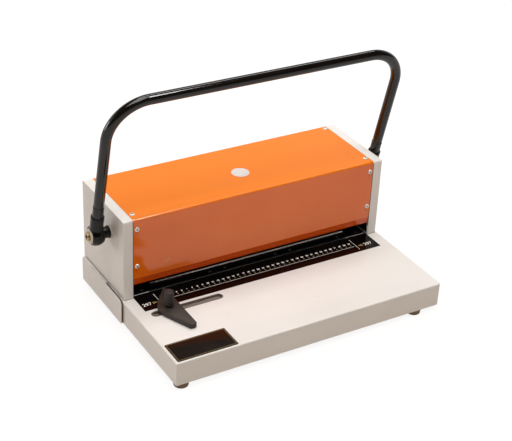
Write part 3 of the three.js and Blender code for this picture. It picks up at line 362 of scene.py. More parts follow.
# The die's glint is painted dim in the middle, as shade under the blocks, and full at its ends.
metalFinish("dieSteel", brightLine=0.02215, brightAlong=(0.1475, 0.15, 0.1, 1.0), **edgeLook)
metalFinish("blockSteel", brightLine=0.02565, **edgeLook)
coatFinish(
    "castEnamel", colour=(0.004, 0.0032, 0.0026), tint=(0.007, 0.0055, 0.0045), patch=60,
    scuff=(320, 0.72, 0.5), scuffColour=(0.22, 0.19, 0.16), rough=(0.1, 0.18), wave=(140, 0.0001),
    peel=(700, 0.00003), ior=1.36,
)
coatFinish(
    "plateEnamel", colour=(0.01, 0.006, 0.004), tint=(0.016, 0.01, 0.007), patch=25,
    scuff=(300, 0.74, 0.4), scuffColour=(0.12, 0.1, 0.08), rough=(0.1, 0.18), wave=(24, 0.0002),
    peel=(900, 0.000006), ior=1.38,
)
# Painted shade: a dark brown for the strips that stand in for shade in gaps.
mouldedFinish(
    "sealFelt", colour=(0.08, 0.054, 0.038), tint=(0.115, 0.08, 0.056), drift=200, pebble=2600, dust=0.3,
    dustColour=(0.14, 0.11, 0.08), rough=(0.8, 0.95), height=0.00008,
)
metalFinish(
    "rubbedSteel", colour=(0.93, 0.9, 0.85), tint=(0.76, 0.73, 0.68), metallic=1.0, stain=90, streak=700,
    along=(0.1, 1, 1), rough=(0.1, 0.2), depth=0.000002,
)
# The slot's lining and ribs take painted shade where they are marked.
metalFinish(
    "ribbedPlastic", colour=(0.38, 0.31, 0.26), tint=(0.33, 0.265, 0.22), metallic=0.0, stain=80,
    streak=900, along=(1, 1, 1), rough=(0.45, 0.6), depth=0.00001, grime=(0.125, 0.099, 0.081),
)
inkLook = dict(rub=500, rubDepth=0.5, rough=(0.35, 0.5), metallic=0.0)
inkFinish("whitePrint", colour=(0.92, 0.89, 0.84), under=(0.45, 0.42, 0.38), **inkLook)
inkFinish("tanPrint", colour=(0.3, 0.2, 0.1), under=(0.1, 0.07, 0.04), **inkLook)
inkFinish(
    "goldPrint", colour=(0.46, 0.33, 0.13), under=(0.16, 0.11, 0.05), rub=400, rubDepth=0.5,
    rough=(0.25, 0.4), metallic=0.4,
)
print("stage: finishes made")

slotFinish = {
    "cream_paint": "creamCoat", "orange_paint": "orangeCoat", "black_gloss": "tubeEnamel",
    "blackened_steel": "blackenedSteel", "bright_steel": "groundSteel", "spring_steel": "drawnWire",
    "zinc_plate": "zincPlate", "brass": "turnedBrass", "pale_nylon": "paleNylon",
    "brown_rubber": "footRubber", "dark_plastic": "guidePlastic", "scale_print": "scaleFilm",
    "white_label": "paperDisc",
}
slotOf = {part["node"]: part["material_slot"] for part in frame["record"]["subparts"]}
for nodeName, node in frame["nodes"].items():
    node.data.materials.clear()
    node.data.materials.append(bpy.data.materials[slotFinish[slotOf[nodeName]]])

# The room: a pale floor, a backdrop and soft lamps
roomSet = Named(
    floorSize=30, floorColour=(0.64, 0.55, 0.47), floorWhite=1.14, farWhite=1.3, farFrom=(0.3, 1.2),
    mirroredWhite=0.84, whiteShare=0.8, skyLight=0.225, skyColour=(1.0, 0.89, 0.86),
    behind=(-0.1, 0.45, 0.04, 1.0), low=(0.22, 0.6, 1.0, 0.08), aim=(0, 0, 0.1),
    lamps={
        "softbox": Named(place=(-0.25, -0.25, 1.9), size=(1.3, 1.3), power=23.2),
        "rearLamp": Named(place=(0.62, 0.74, 1.66), size=(1.5, 0.42), power=11, facesDown=True),
        "stripLamp": Named(place=(0.45, -0.45, 1.66), size=(0.2, 0.4), power=6.5, facesDown=True),
        "sideLamp": Named(place=(-1.5, 1.0, 0.4), size=(0.5, 0.5), power=5),
    },
)


def areaLamp(name, its, aim):
    data = bpy.data.lights.new(name, "AREA")
    data.shape = "RECTANGLE"
    data.size, data.size_y = its.size
    data.energy = its.power
    lamp = addObject(name, data)
    lamp.location = its.place
    if not its.get("facesDown"):
        lamp.rotation_mode = "QUATERNION"
        lamp.rotation_quaternion = (Vector(aim) - lamp.location).to_track_quat("-Z", "Y")


# Two factors: the camera is looking, and something is: the camera, a reflection or a clear material.
def lookingRays():
    rays = addNode("LightPath").outputs
    looks = sums("MAXIMUM", rays["Is Camera Ray"], rays["Is Glossy Ray"])
    return rays["Is Camera Ray"], sums("MAXIMUM", looks, rays["Is Transmission Ray"])


# The floor is plain and diffuse; where something looks at it, a share of it is white.
def makeFloor(its):
    half = its.floorSize / 2
    corners = [(-half, -half, 0), (half, -half, 0), (half, half, 0), (-half, half, 0)]
    mesh = bpy.data.meshes.new("floor")
    mesh.from_pydata(corners, [], [(0, 1, 2, 3)])
    floor = addObject("floor", mesh)
    material = bpy.data.materials.new("paleFloor")
    output = startTree(material, "OutputMaterial")
    diffuse = addNode("BsdfDiffuse", {"Color": rgba(its.floorColour)})
    camera, looks = lookingRays()
    place = addNode("NewGeometry").outputs["Position"]
    reach = addNode("VectorMath", {0: place}, operation="LENGTH").outputs["Value"]
    direct = ranged(reach, *its.farFrom, its.floorWhite, its.farWhite)
    gained = sums("MULTIPLY", camera, sums("SUBTRACT", direct, its.mirroredWhite))
    level = sums("ADD", gained, its.mirroredWhite)
    white = addNode("Emission", {"Color": rgba((1, 1, 1)), "Strength": level})
    share = sums("MULTIPLY", looks, its.whiteShare)
    fill(output, {0: addNode("MixShader", {0: share, 1: diffuse, 2: white})})
    mesh.materials.append(material)


# The backdrop is white to the camera. A reflection sees it bright behind and low, and dim elsewhere.
def makeBackdrop(its):
    world = bpy.data.worlds.new("studio")
    bpy.context.scene.world = world
    output = startTree(world, "OutputWorld")
    split = addNode("SeparateXYZ", {0: addNode("TexCoord").outputs["Generated"]}).outputs
    behind = ranged(split[1], *its.behind)
    bright = sums("MULTIPLY", behind, ranged(split[2], *its.low))
    camera, looks = lookingRays()
    sky = addNode("Background", {"Color": rgba(its.skyColour), "Strength": its.skyLight})
    seen = addNode("Background", {"Color": rgba((1, 1, 1)), "Strength": sums("MAXIMUM", camera, bright)})
    fill(output, {0: addNode("MixShader", {0: looks, 1: sky, 2: seen})})


makeFloor(roomSet)
makeBackdrop(roomSet)
for lampName, lampSet in roomSet.lamps.items():
    areaLamp(lampName, lampSet, roomSet.aim)
bpy.context.scene.view_settings.view_transform = "Standard"
print("stage: room lit")

# Pieces
alongX = [2, 0, 1]  # the order that lays a drawing's height along x
filletSteps = 5
slabSteps = 4


# Points drawn in millimetres along a piece's own x, y and z, about a place in the housing's frame.
def placed(points, place=(0, 0, 0), axes=np.eye(3)):
    return atHousing(place) + np.asarray(points, float) @ axes * mm


def roundAngles(steps):
    return np.arange(steps) * 2 * pi / steps


# Rounds the corners of a path that have a third number, their radius: an arc begins and ends at
# radius / tan(half the corner's angle) from the corner, about a centre on the line that halves the corner.
# The ends of an open path have no radius.
def roundedPath(corners, steps=filletSteps):
    points = np.array([corner[:2] for corner in corners], float)
    path = []
    for i, corner in enumerate(corners):
        here = points[i]
        if len(corner) < 3:
            path.append(here[None])
            continue
        before = points[i - 1] - here
        after = points[(i + 1) % len(corners)] - here
        before /= np.linalg.norm(before)
        after /= np.linalg.norm(after)
        half = acos(np.clip(before @ after, -1, 1)) / 2
        toMiddle = (before + after) / np.linalg.norm(before + after)
        centre = here + toMiddle * corner[2] / sin(half)
        reach = corner[2] / tan(half)
        sweep = pi - 2 * half
        share = np.linspace(0, 1, steps + 1)[:, None]
        first = here + before * reach - centre
        last = here + after * reach - centre
        arc = (np.sin((1 - share) * sweep) * first + np.sin(share * sweep) * last) / sin(sweep)
        path.append(centre + arc)
    return np.concatenate(path)


# A profile of (radius, height) turned about z.
def turnedGrid(profile, steps):
    angles = roundAngles(steps)
    radius, height = np.asarray(profile, float).T
    x = radius[:, None] * np.cos(angles)
    y = radius[:, None] * np.sin(angles)
    return np.stack([x, y, np.repeat(height[:, None], steps, axis=1)], axis=2)


# Flat outlines, each at its height.
def stacked(rows):
    return np.stack([np.column_stack([flat, np.full(len(flat), height)]) for flat, height in rows])


# An outline drawn by inset, stacked from bottom to top with its edges rounded by quarter circles.
def slabGrid(outlineAt, bottom, top, edge, lowerEdge=0.0):
    turn = np.linspace(0, pi / 2, slabSteps + 1)
    insets = np.concatenate([lowerEdge * (1 - np.sin(turn)), edge * (1 - np.cos(turn))])
    heights = np.concatenate([bottom + lowerEdge * (1 - np.cos(turn)), top - edge * (1 - np.sin(turn))])
    return stacked([(outlineAt(inset), height) for inset, height in zip(insets, heights)])


def rectangleAt(x0, y0, x1, y1, radius):
    def outlineAt(inset):
        turned = max(radius - inset, 0.01)
        return roundedPath([
            (x0 + inset, y0 + inset, turned), (x1 - inset, y0 + inset, turned),
            (x1 - inset, y1 - inset, turned), (x0 + inset, y1 - inset, turned),
        ])
    return outlineAt


# A flat band between two outlines of equally many points.
def bandGrid(outer, inner, bottom, top):
    return stacked([(outer, bottom), (outer, top), (inner, top), (inner, bottom)])


def blockGrid(x0, x1, y0, y1, z0, z1):
    outline = np.array([(x0, y0), (x1, y0), (x1, y1), (x0, y1)])
    return placed(stacked([(outline, z0), (outline, z1)]))


# Quads between neighbouring points of a grid.
def gridFaces(rows, columns, closeRows):
    row, column = np.meshgrid(np.arange(rows if closeRows else rows - 1), np.arange(columns), indexing="ij")
    nextRow = (row + 1) % rows
    nextColumn = (column + 1) % columns
    corners = (row, column), (row, nextColumn), (nextRow, nextColumn), (nextRow, column)
    return np.stack([(r * columns + c).ravel() for r, c in corners], axis=1)


# How meshes are cleaned: points this close in metres are merged, and faces this level in degrees are joined.
cleanSet = Named(weld=2e-7, level=1, sharp=40, copySharp=32, printSharp=30, bevelBeyond=4, bevelSegments=3)


# Merges doubled points, points the normals outward and shades smoothly up to an angle.
def cleanMesh(mesh, sharp, flatten=False):
    work = bmesh.new()
    work.from_mesh(mesh)
    bmesh.ops.remove_doubles(work, verts=work.verts, dist=cleanSet.weld)
    if flatten:
        level = radians(cleanSet.level)
        bmesh.ops.dissolve_limit(work, angle_limit=level, verts=work.verts, edges=work.edges)
    bmesh.ops.recalc_face_normals(work, faces=work.faces)
    work.to_mesh(mesh)
    work.free()
    mesh.shade_smooth()
    mesh.set_sharp_from_angle(angle=radians(sharp))


# Puts a mesh on a body. Its owner is the solid that it stands for, or else the slot that it shares.
def dressPiece(name, mesh, finish, owner, body="root"):
    piece = addObject(name, mesh)
    if finish:
        mesh.materials.clear()
        mesh.materials.append(bpy.data.materials[finish])
    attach(piece, body)
    if owner in slotOf:
        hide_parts(owner)
    return piece


# One piece from closed grids. A ring grid closes both ways, any other gets a face over its first and last
# row. Hollow marks points that are painted darker, as shade.
def makePiece(name, grids, finish, owner, body="root", rings=False, sharp=cleanSet.sharp, hollow=None):
    vertices, faces, start = [], [], 0
    for grid in grids:
        rows, columns = grid.shape[:2]
        faces.extend((gridFaces(rows, columns, rings) + start).tolist())
        if not rings:
            faces.append(list(range(start, start + columns))[::-1])
            faces.append(list(range(start + (rows - 1) * columns, start + rows * columns)))
        vertices.append(grid.reshape(-1, 3))
        start += rows * columns
    mesh = bpy.data.meshes.new(name)
    mesh.from_pydata(np.concatenate(vertices).tolist(), [], faces)
    if hollow is not None:
        layer = mesh.attributes.new("hollow", "FLOAT", "POINT")
        layer.data.foreach_set("value", hollow.ravel())
    cleanMesh(mesh, sharp)
    return dressPiece(name, mesh, finish, owner, body)


# The same surface as a solid, with its flat parts merged and its edges broken.
def softCopy(nodeName, name, edge, body="root", finish=None):
    mesh = frame["nodes"][nodeName].data.copy()
    cleanMesh(mesh, cleanSet.copySharp, flatten=True)
    piece = dressPiece(name, mesh, finish, nodeName, body)
    bevel = piece.modifiers.new("brokenEdges", "BEVEL")
    bevel.width = edge * mm
    bevel.segments = cleanSet.bevelSegments
    bevel.limit_method = "ANGLE"
    bevel.angle_limit = radians(cleanSet.copySharp + cleanSet.bevelBeyond)
    flat = piece.modifiers.new("flatNormals", "WEIGHTED_NORMAL")
    flat.weight = 100
    flat.keep_sharp = True


# Each solid's piece, the size of its broken edges, and its body and finish where they aren't the usual ones
sheetSet = {
    "base_shell": ("baseShell", 0.35), "side_panel_left": ("panelLeft", 0.35),
    "side_panel_right": ("panelRight", 0.35), "cover": ("coverSheet", 0.3),
    "hole_scale": ("scaleStrip", 0.1), "ram_beam": ("ramBeam", 0.4, "ram"),
    "side_frame_left": ("frameLeft", 0.3), "side_frame_right": ("frameRight", 0.3),
    "paper_stop": ("paperStop", 0.2), "slot_channel": ("slotChannel", 0.15),
    "die_bearer_left": ("bearerLeft", 0.4), "die_bearer_right": ("bearerRight", 0.4),
    "tray_rail_front": ("railFront", 0.2), "tray_rail_rear": ("railRear", 0.2),
    "chip_tray": ("chipTray", 0.25, "tray"), "die_plate": ("diePlate", 0.12, "root", "dieSteel"),
}
for nodeName, given in sheetSet.items():
    softCopy(nodeName, *given)
for side in ("left", "middle", "right"):
    softCopy("guide_block_" + side, "guideBlock" + side.title(), 0.12, finish="blockSteel")

foldSet = Named(height=28.1, depth=8, lean=0.11, onFold=1e-6)


# The cover's front leans back below a fold: each point there moves back by its distance below the fold
# times the lean.
def foldCover(cover, its):
    depth, fold = atHousing((0, its.depth, its.height))[1:]
    work = bmesh.new()
    work.from_mesh(cover.data)
    parts = work.verts[:] + work.edges[:] + work.faces[:]
    bmesh.ops.bisect_plane(work, geom=parts, dist=its.onFold, plane_co=(0, 0, fold), plane_no=(0, 0, 1))
    for edge in work.edges:
        if all(abs(point.co.z - fold) < its.onFold for point in edge.verts):
            edge.smooth = False
    for point in work.verts:
        if point.co.z < fold and point.co.y < depth:
            point.co.y += (fold - point.co.z) * its.lean
    work.to_mesh(cover.data)
    work.free()


foldCover(bpy.data.objects["coverSheet"], foldSet)
print("stage: sheets and blocks dressed")

# Feet
footSet = Named(
    radius=10.2, tipRadius=9.0, height=8.0, rim=1.6, recess=4.2, recessDepth=3.5, recessTaper=0.6,
    taperFoot=0.8, taperTop=0.5, stem=3.2, barb=4.4, barbTaper=1, barbLength=2.2, flange=1.2, play=0.3,
    edge=0.7, steps=64, rows={"front": -136.5, "rear": 110.4}, sides={"left": -180.5, "right": 160.6},
)


# A tapered foot: a rim above, a rounded tread and a screw recess below, and the stem with its barb.
def makeFeet(its):
    height, rimFoot = its.height, its.height - its.rim
    top = height + its.flange + its.play
    tip = top + its.barbLength
    profile = roundedPath([
        (0, its.recessDepth), (its.recess - its.recessTaper, its.recessDepth, 0.4),
        (its.recess, 0, 0.4), (its.tipRadius, 0, its.edge),
        (its.tipRadius + its.taperFoot, rimFoot - its.taperTop, 0.3),
        (its.radius, rimFoot, 0.4), (its.radius, height, 0.4),
        (its.stem, height), (its.stem, top), (its.barb, top, 0.2),
        (its.stem - its.barbTaper, tip, 0.3), (0, tip),
    ])
    for row, y in its.rows.items():
        for side, x in its.sides.items():
            grid = placed(turnedGrid(profile, its.steps), (x, y, -housingFoot[2]))
            makePiece(f"rubberFoot{row.title()}{side.title()}", [grid], "footRubber", f"foot_{row}_{side}")


makeFeet(footSet)

# Cover screws
screwSet = Named(
    radius=3.25, height=1.95, roundness=3.0, fullness=2.3, seat=0.03, steps=64,
    middleRings=(0.001, 2.4, 22), edgeFrom=2.5, edgeRings=14, recessDepth=1.25, recessWidth=0.5,
    recessLength=1.75, recessSides=0.16, recessEnds=0.5, frontHigh=99.0, frontLow=46.2, topFront=12.8,
    topRear=112.0, across=172.1, topHeight=112.7, back=120.8, firstTurn=0.35, nextTurn=2.1,
)


# A pan head: height = height * (1 - (r / radius)^roundness)^(1 / fullness), less a cross whose depth
# fades past its half width and its half length.
def screwHead(its, turn):
    edgeRings = np.linspace(its.edgeFrom, its.radius, its.edgeRings)
    radius = np.concatenate([np.linspace(*its.middleRings), edgeRings])
    angle = roundAngles(its.steps)
    x = radius[:, None] * np.cos(angle)
    y = radius[:, None] * np.sin(angle)
    crown = np.clip(1 - (radius / its.radius) ** its.roundness, 0, 1) ** (1 / its.fullness)
    turnedX = np.abs(x * cos(turn) + y * sin(turn))
    turnedY = np.abs(y * cos(turn) - x * sin(turn))
    across = np.minimum(turnedX, turnedY)
    width = np.clip((its.recessWidth - across) / its.recessSides, 0, 1)
    length = np.clip((its.recessLength - np.maximum(turnedX, turnedY)) / its.recessEnds, 0, 1)
    cross = width * length
    z = its.height * crown[:, None] - its.recessDepth * cross + its.seat
    top = np.stack([x, y, z], axis=2)
    bottom = top[-1:] * (1, 1, 0)
    # The cross's depth share is also the mask for painted shade in the recess.
    return np.concatenate([top, bottom]), np.concatenate([cross, 0 * cross[:1]])


def makeCoverScrews(its):
    front = ((1, 0, 0), (0, 0, 1), (0, -1, 0))
    upward = np.eye(3)
    behind = ((-1, 0, 0), (0, 0, 1), (0, 1, 0))
    places = []
    for x in (-its.across, its.across):
        places += [
            ((x, 0, its.frontHigh), front), ((x, 0, its.frontLow), front),
            ((x, its.topFront, its.topHeight), upward), ((x, its.topRear, its.topHeight), upward),
            ((x, its.back, its.frontLow), behind),
        ]
    for i, (place, axes) in enumerate(places):
        grid, hollow = screwHead(its, its.firstTurn + its.nextTurn * i)
        grid = placed(grid, place, axes)
        makePiece(f"crossScrew{i + 1}", [grid], "zincPlate", f"cover_screw_{i + 1}", hollow=hollow)


makeCoverScrews(screwSet)
print("stage: feet and screws made")

# Handle: drawn about the cross shaft, with z up the leaning arms
handleSet = Named(
    pivot=(-4.3, 39.7, 80.1), lean=13.8, spread=205, reach=198.7, bend=50.6,
    tube=6.67, bore=5.25, tubeStart=50.1, rim=0.45, endShares=(0.0, 0.3, 0.7, 1.0),
    bendSteps=28, armSteps=24, gripSteps=20, tubeSteps=80, endSteps=64,
    ball=13.8, ballSteps=56, hubSteps=96, wallSteps=9, outside=7.2, inside=8.4,
    pressFade=(0.4, 1.8), pressFree=4, pressSoft=0.28, collar=8.5, collarBase=10.3, collarTop=31,
    flare=1.2, flareRise=2.2, socket=7.3, socketFloor=14, ferrule=7, ferrulePlay=0.3, ferruleTop=47,
    neck=6.2, neckLength=2.8, neckRise=0.05, plug=4.9, plugLength=14.8,
    washer=9.8, washerIn=7.5, washerOut=9.0, washerBore=3.3,
    boltHead=5.4, boltOut=12.3, boltSocket=2.6, boltSocketDepth=1.8, boltSoft=0.2, boltFlare=1.06,
    boltCrown=4.0, bolt=3, spacer=7.3, spacerEdge=8.3, spacerBore=6.05, spacerRim=2.2,
    spacerStart=-196.3, spacerStop=-187.7,
)
leanAngle = radians(handleSet.lean)
armAxes = ((1, 0, 0), (0, cos(leanAngle), sin(leanAngle)), (0, -sin(leanAngle), cos(leanAngle)))


def onArms(points):
    return placed(points, handleSet.pivot, armAxes)


# The tube's skin runs outside from end to end and back through the bore, so it closes on itself.
def makeTube(its):
    spread, bend, reach, rim = its.spread, its.bend, its.reach, its.rim
    turn = np.linspace(0, pi / 2, its.bendSteps + 1)
    armZ = np.linspace(its.tubeStart, reach - bend, its.armSteps)[:-1]
    left = np.column_stack(np.broadcast_arrays(-spread, armZ, 0))
    corner = np.column_stack([-spread + bend * (1 - np.cos(turn)), reach - bend + bend * np.sin(turn), turn])
    gripX = np.linspace(-spread + bend, 0, its.gripSteps)[1:]
    grip = np.column_stack(np.broadcast_arrays(gripX, reach, pi / 2))
    half = np.concatenate([left, corner, grip])
    path = np.concatenate([half, half[-2::-1] * (-1, 1, -1) + (0, 0, pi)])
    ends = np.array(its.endShares)
    endRadii = its.tube - rim * (1 - np.sqrt(1 - (1 - ends) ** 2))
    shift = (ends * rim)[:, None] * (0, 1, 0)
    centres = np.concatenate([path[:1] + shift, path[1:-1], path[-1:] + shift[::-1], path[::-1]])
    radii = np.concatenate([
        endRadii, np.full(len(path) - 2, its.tube), endRadii[::-1], np.full(len(path), its.bore),
    ])[:, None]
    around = roundAngles(its.tubeSteps)
    heading = centres[:, 2:]
    x = centres[:, :1] - radii * np.cos(heading) * np.cos(around)
    z = centres[:, 1:2] + radii * np.sin(heading) * np.cos(around)
    grid = onArms(np.stack([x, radii * np.sin(around), z], axis=2))
    makePiece("handleBow", [grid], "tubeEnamel", "handle_tube", "handle", rings=True)


makeTube(handleSet)


# One hub: a ball and its collar turned about the arm, then pressed flat at both sides. The pressing ends
# above the washer, so that the collar stays round.
def hubGrid(its, side):
    ball, collar, socket, top = its.ball, its.collar, its.socket, its.collarTop
    joinHeight = sqrt(ball ** 2 - (collar + its.flare) ** 2)
    turn = np.linspace(-pi / 2, asin(joinHeight / ball), its.ballSteps)
    lower = np.column_stack([ball * np.cos(turn), ball * np.sin(turn)])
    upper = roundedPath([
        tuple(lower[-1]), (collar, joinHeight + its.flareRise, 2.0), (collar, top, 0.7),
        (socket, top, 0.25), (socket, its.socketFloor), (0, its.socketFloor),
    ])
    flareEnd = filletSteps + 1
    fine = np.linspace(0, 1, its.wallSteps)[1:-1, None]
    wall = upper[flareEnd] + (upper[flareEnd + 1] - upper[flareEnd]) * fine
    profile = np.concatenate([lower, upper[1:flareEnd + 1], wall, upper[flareEnd + 1:]])
    profile[0, 0] = 0
    grid = turnedGrid(profile, its.hubSteps)
    x, z = grid[:, :, 0], grid[:, :, 2]
    fadeBelow, fadeLength = its.pressFade
    free = np.clip((z - its.collarBase + fadeBelow) / fadeLength, 0, 1)
    free = free * free * (3 - 2 * free) * its.pressFree
    low, high = (its.outside, its.inside) if side < 0 else (its.inside, its.outside)
    soft = its.pressSoft
    pressed = -(low + free) + soft * np.logaddexp(0, (x + low + free) / soft)
    pressed = high + free - soft * np.logaddexp(0, (high + free - pressed) / soft)
    grid[:, :, 0] = pressed + side * its.spread
    return grid


# A bolt with a six-sided socket: in the direction a, the socket's radius is its half width over the cosine
# of a within its sixth.
def boltGrid(its):
    steps, out, seat = its.hubSteps, its.boltOut, its.washerOut
    floor = out - its.boltSocketDepth
    angles = roundAngles(steps)
    hexagon = its.boltSocket * cos(pi / 6) / np.cos(angles % (pi / 3) - pi / 6)
    rings = [
        (0 * hexagon, floor), (hexagon, floor), (hexagon, out - its.boltSoft),
        (hexagon * its.boltFlare, out), *roundedPath([
            (its.boltCrown, out), (its.boltHead, out, 0.8), (its.boltHead, seat, 0.1), (its.bolt, seat),
            (its.bolt, 0), (0, 0),
        ]),
    ]
    radius, height = (np.stack([np.full(steps, part) for part in column]) for column in zip(*rings))
    grid = np.stack([height, radius * np.cos(angles), radius * np.sin(angles)], axis=2)
    # The socket's floor and walls are marked for painted shade.
    hollow = np.zeros(radius.shape)
    hollow[:3] = 1
    return grid, hollow


def makeHandleEnds(its):
    start, stop, rim = its.spacerStart, its.spacerStop, its.spacerRim
    collarProfile = roundedPath([
        (its.spacerBore, start), (its.spacer, start, 0.4), (its.spacer, stop - rim, 0.3),
        (its.spacerEdge, stop - rim, 0.6), (its.spacerEdge, stop, 0.3), (its.spacerBore, stop),
    ])
    sleeve = onArms(turnedGrid(collarProfile, its.tubeSteps)[..., alongX])
    makePiece("spacerSleeve", [sleeve], "castEnamel", "spacer_collar", "handle", rings=True)
    foot, top = its.socketFloor + its.ferrulePlay, its.ferruleTop
    neckTop = top + its.neckLength
    plugTop = neckTop + its.plugLength
    ferrule = turnedGrid(roundedPath([
        (0, foot), (its.ferrule, foot, 0.3), (its.ferrule, top, 0.5), (its.neck, top + its.neckRise, 0.15),
        (its.neck, neckTop), (its.plug, neckTop), (its.plug, plugTop), (0, plugTop),
    ]), its.endSteps)
    inner, outer = its.washerIn, its.washerOut
    washer = turnedGrid(roundedPath([
        (its.washerBore, inner), (its.washerBore, outer, 0.2), (its.washer, outer, 0.45),
        (its.washer, inner, 0.3),
    ]), its.endSteps)[..., alongX]
    bolt, hollow = boltGrid(its)
    for side, word in ((-1, "left"), (1, "right")):
        shift = (side * its.spread, 0, 0)
        mirror = (side, 1, 1)
        ends = (
            ("ballHub", hubGrid(its, side), "castEnamel", "arm_hub_", {"sharp": 50}),
            ("armPlug", ferrule + shift, "tubeEnamel", "arm_ferrule_", {}),
            ("paleWasher", washer * mirror + shift, "paleNylon", "end_washer_", {"rings": True}),
            ("endBolt", bolt * mirror + shift, "turnedBrass", "hub_bolt_", {"hollow": hollow}),
        )
        for name, points, finish, node, extras in ends:
            makePiece(name + word.title(), [onArms(points)], finish, node + word, "handle", **extras)


makeHandleEnds(handleSet)
print("stage: handle made")

# Edge guide and its clamp knob
guideSet = Named(
    place=(-149.4, -43.4, 0), bottom=0.8, top=6.9, edge=14, tail=38.9, tailWidth=3.4, tailRadius=1.4,
    nose=48.9, noseWidth=8.9, noseRadius=3.8, bulge=17.5, bulgeRow=2.7, bulgeRadius=24, rounding=0.7,
    lowerRounding=0.3, cornerSteps=12, knobSteps=72, knobSeat=7.2, knobTop=28.0, knobRadius=6.4,
    knobTopRadius=5.9, neck=5.0, neckHeight=2.6, skirt=0.3, dish=1.1, dishRadius=4.4, stud=3, studEnd=-2.9,
)


# A kite with rounded corners: a straight edge, a bulge opposite it, a narrow tail and a broader nose.
def guideOutline(inset):
    its = guideSet
    edge, tail, nose = its.edge - inset, its.tail - inset, inset - its.nose
    return roundedPath([
        (edge, tail, its.tailRadius - inset),
        (edge - its.tailWidth + inset, tail, its.tailRadius - inset),
        (-its.bulge + inset, its.bulgeRow, its.bulgeRadius - inset),
        (edge - its.noseWidth + inset, nose, its.noseRadius - inset),
        (edge, nose, its.noseRadius - inset),
    ], its.cornerSteps)


def makeGuide(its):
    grid = slabGrid(guideOutline, its.bottom, its.top, its.rounding, its.lowerRounding)
    makePiece("edgeFence", [placed(grid, its.place)], "guidePlastic", "edge_guide", "guide")
    top, seat, neck, dish = its.knobTop, its.knobSeat, its.neck, its.knobTop - its.dish
    neckTop = seat + its.neckHeight
    profile = roundedPath([
        (0, its.studEnd), (its.stud, its.studEnd, 0.4), (its.stud, seat), (neck, seat, 0.3),
        (neck, neckTop - its.skirt, 0.3), (its.knobRadius, neckTop, 0.4), (its.knobTopRadius, top, 0.7),
        (its.dishRadius, top, 0.3), (its.dishRadius - its.dish, dish, 0.4), (0, dish),
    ])
    grid = placed(turnedGrid(profile, its.knobSteps), its.place)
    makePiece("clampKnob", [grid], "guidePlastic", "guide_knob", "knob")


makeGuide(guideSet)

# The bare plate with a line round its edge, the sticker, and the slot's lining and ribs
plateSet = Named(
    span=(-189.0, -144.5, -107.6, -107.9), thickness=0.8, corner=1.5, edge=0.25, lineInset=1.5,
    lineWidth=0.45, lineCorner=0.8, lineSunk=0.1, lineProud=0.03,
)
discSet = Named(place=(1.0, 51.0, 112.7), radius=12.0, thickness=0.5, edgeShare=0.6, steps=96)
linerSet = Named(
    span=(-172.3, -47.9, -74.9, -38.9), corner=4.49, wall=0.35, lip=1.3, lipSlant=0.15, seat=0.01, top=0.25,
    bottom=-1.45,
)
ribSet = Named(
    x0=-171.5, x1=-75.7, row=-43.4, floor=-3.2, lift=0.06, foot=0.01, height=0.22, pitch=2.6, slant=1.6,
    width=12.6, step=0.2, columns=9, ridge=(1.6, 0.3), valley=(1.8, 0.4),
)


def makePlate(its):
    grid = slabGrid(rectangleAt(*its.span, its.corner), 0, its.thickness, its.edge)
    makePiece("barePlate", [placed(grid)], "plateEnamel", "front_plate")
    inset, top = its.lineInset, its.thickness
    outlineAt = rectangleAt(*its.span, inset + its.lineCorner)
    outer, inner = outlineAt(inset), outlineAt(inset + its.lineWidth)
    band = bandGrid(outer, inner, top - its.lineSunk, top + its.lineProud)
    makePiece("plateLine", [placed(band)], "goldPrint", "brass", rings=True)


def makeDisc(its):
    radius, top = its.radius, its.thickness
    profile = roundedPath([(0, 0), (radius, 0), (radius, top, top * its.edgeShare), (0, top)])
    grid = placed(turnedGrid(profile, its.steps), its.place)
    makePiece("bareSticker", [grid], "paperDisc", "cover_disc")


# A thin lining round the slot's cut edge, with a flange on the table: one section run round the slot. Its
# top and flange are painted dark as shade.
def makeLiner(its):
    outlineAt = rectangleAt(*its.span, its.corner)
    lip, wall, top, bottom, seat = its.lip, its.wall, its.top, its.bottom, its.seat
    section = ((0, bottom), (0, seat), (-lip, seat), (its.lipSlant - lip, top), (wall, top), (wall, bottom))
    band = stacked([(outlineAt(inset), height) for inset, height in section])
    # Painted shade: the lining darkens from its foot up to its top and flange.
    dull = np.repeat([0, 1, 1, 1, 1, 0.0], band.shape[1])
    makePiece("slotLiner", [placed(band)], "ribbedPlastic", slotOf["slot_channel"], rings=True, hollow=dull)


# Ribs that slant across the channel's floor: height follows the cosine of the distance along it. Their
# valleys are painted darker, as shade.
def makeRibs(its):
    x = np.arange(its.x0, its.x1, its.step)
    y = np.linspace(-0.5, 0.5, its.columns)
    gridX = x[:, None] + its.slant * y
    gridY = its.row + its.width * np.repeat(y[None], len(x), axis=0)
    wave = 0.5 + 0.5 * np.cos(2 * pi * gridX / its.pitch)
    ridge, valley = (np.clip(wave * gain - loss, 0, 1) for gain, loss in (its.ridge, its.valley))
    top = np.stack([gridX, gridY, its.floor + its.lift + its.height * ridge], axis=2)
    low = top[:, [0, -1]].copy()
    low[:, :, 2] = its.floor + its.foot
    loop = np.concatenate([low[:, :1], top, low[:, 1:]], axis=1)
    # Painted shade: the valleys between the ribs are marked dark.
    valley = np.pad(1 - valley, ((0, 0), (1, 1)), "edge")
    makePiece("slotRibs", [placed(loop)], "ribbedPlastic", slotOf["slot_channel"], sharp=60, hollow=valley)


makePlate(plateSet)
makeDisc(discSet)
makeLiner(linerSet)
makeRibs(ribSet)
print("stage: guide, plate, sticker and slot made")

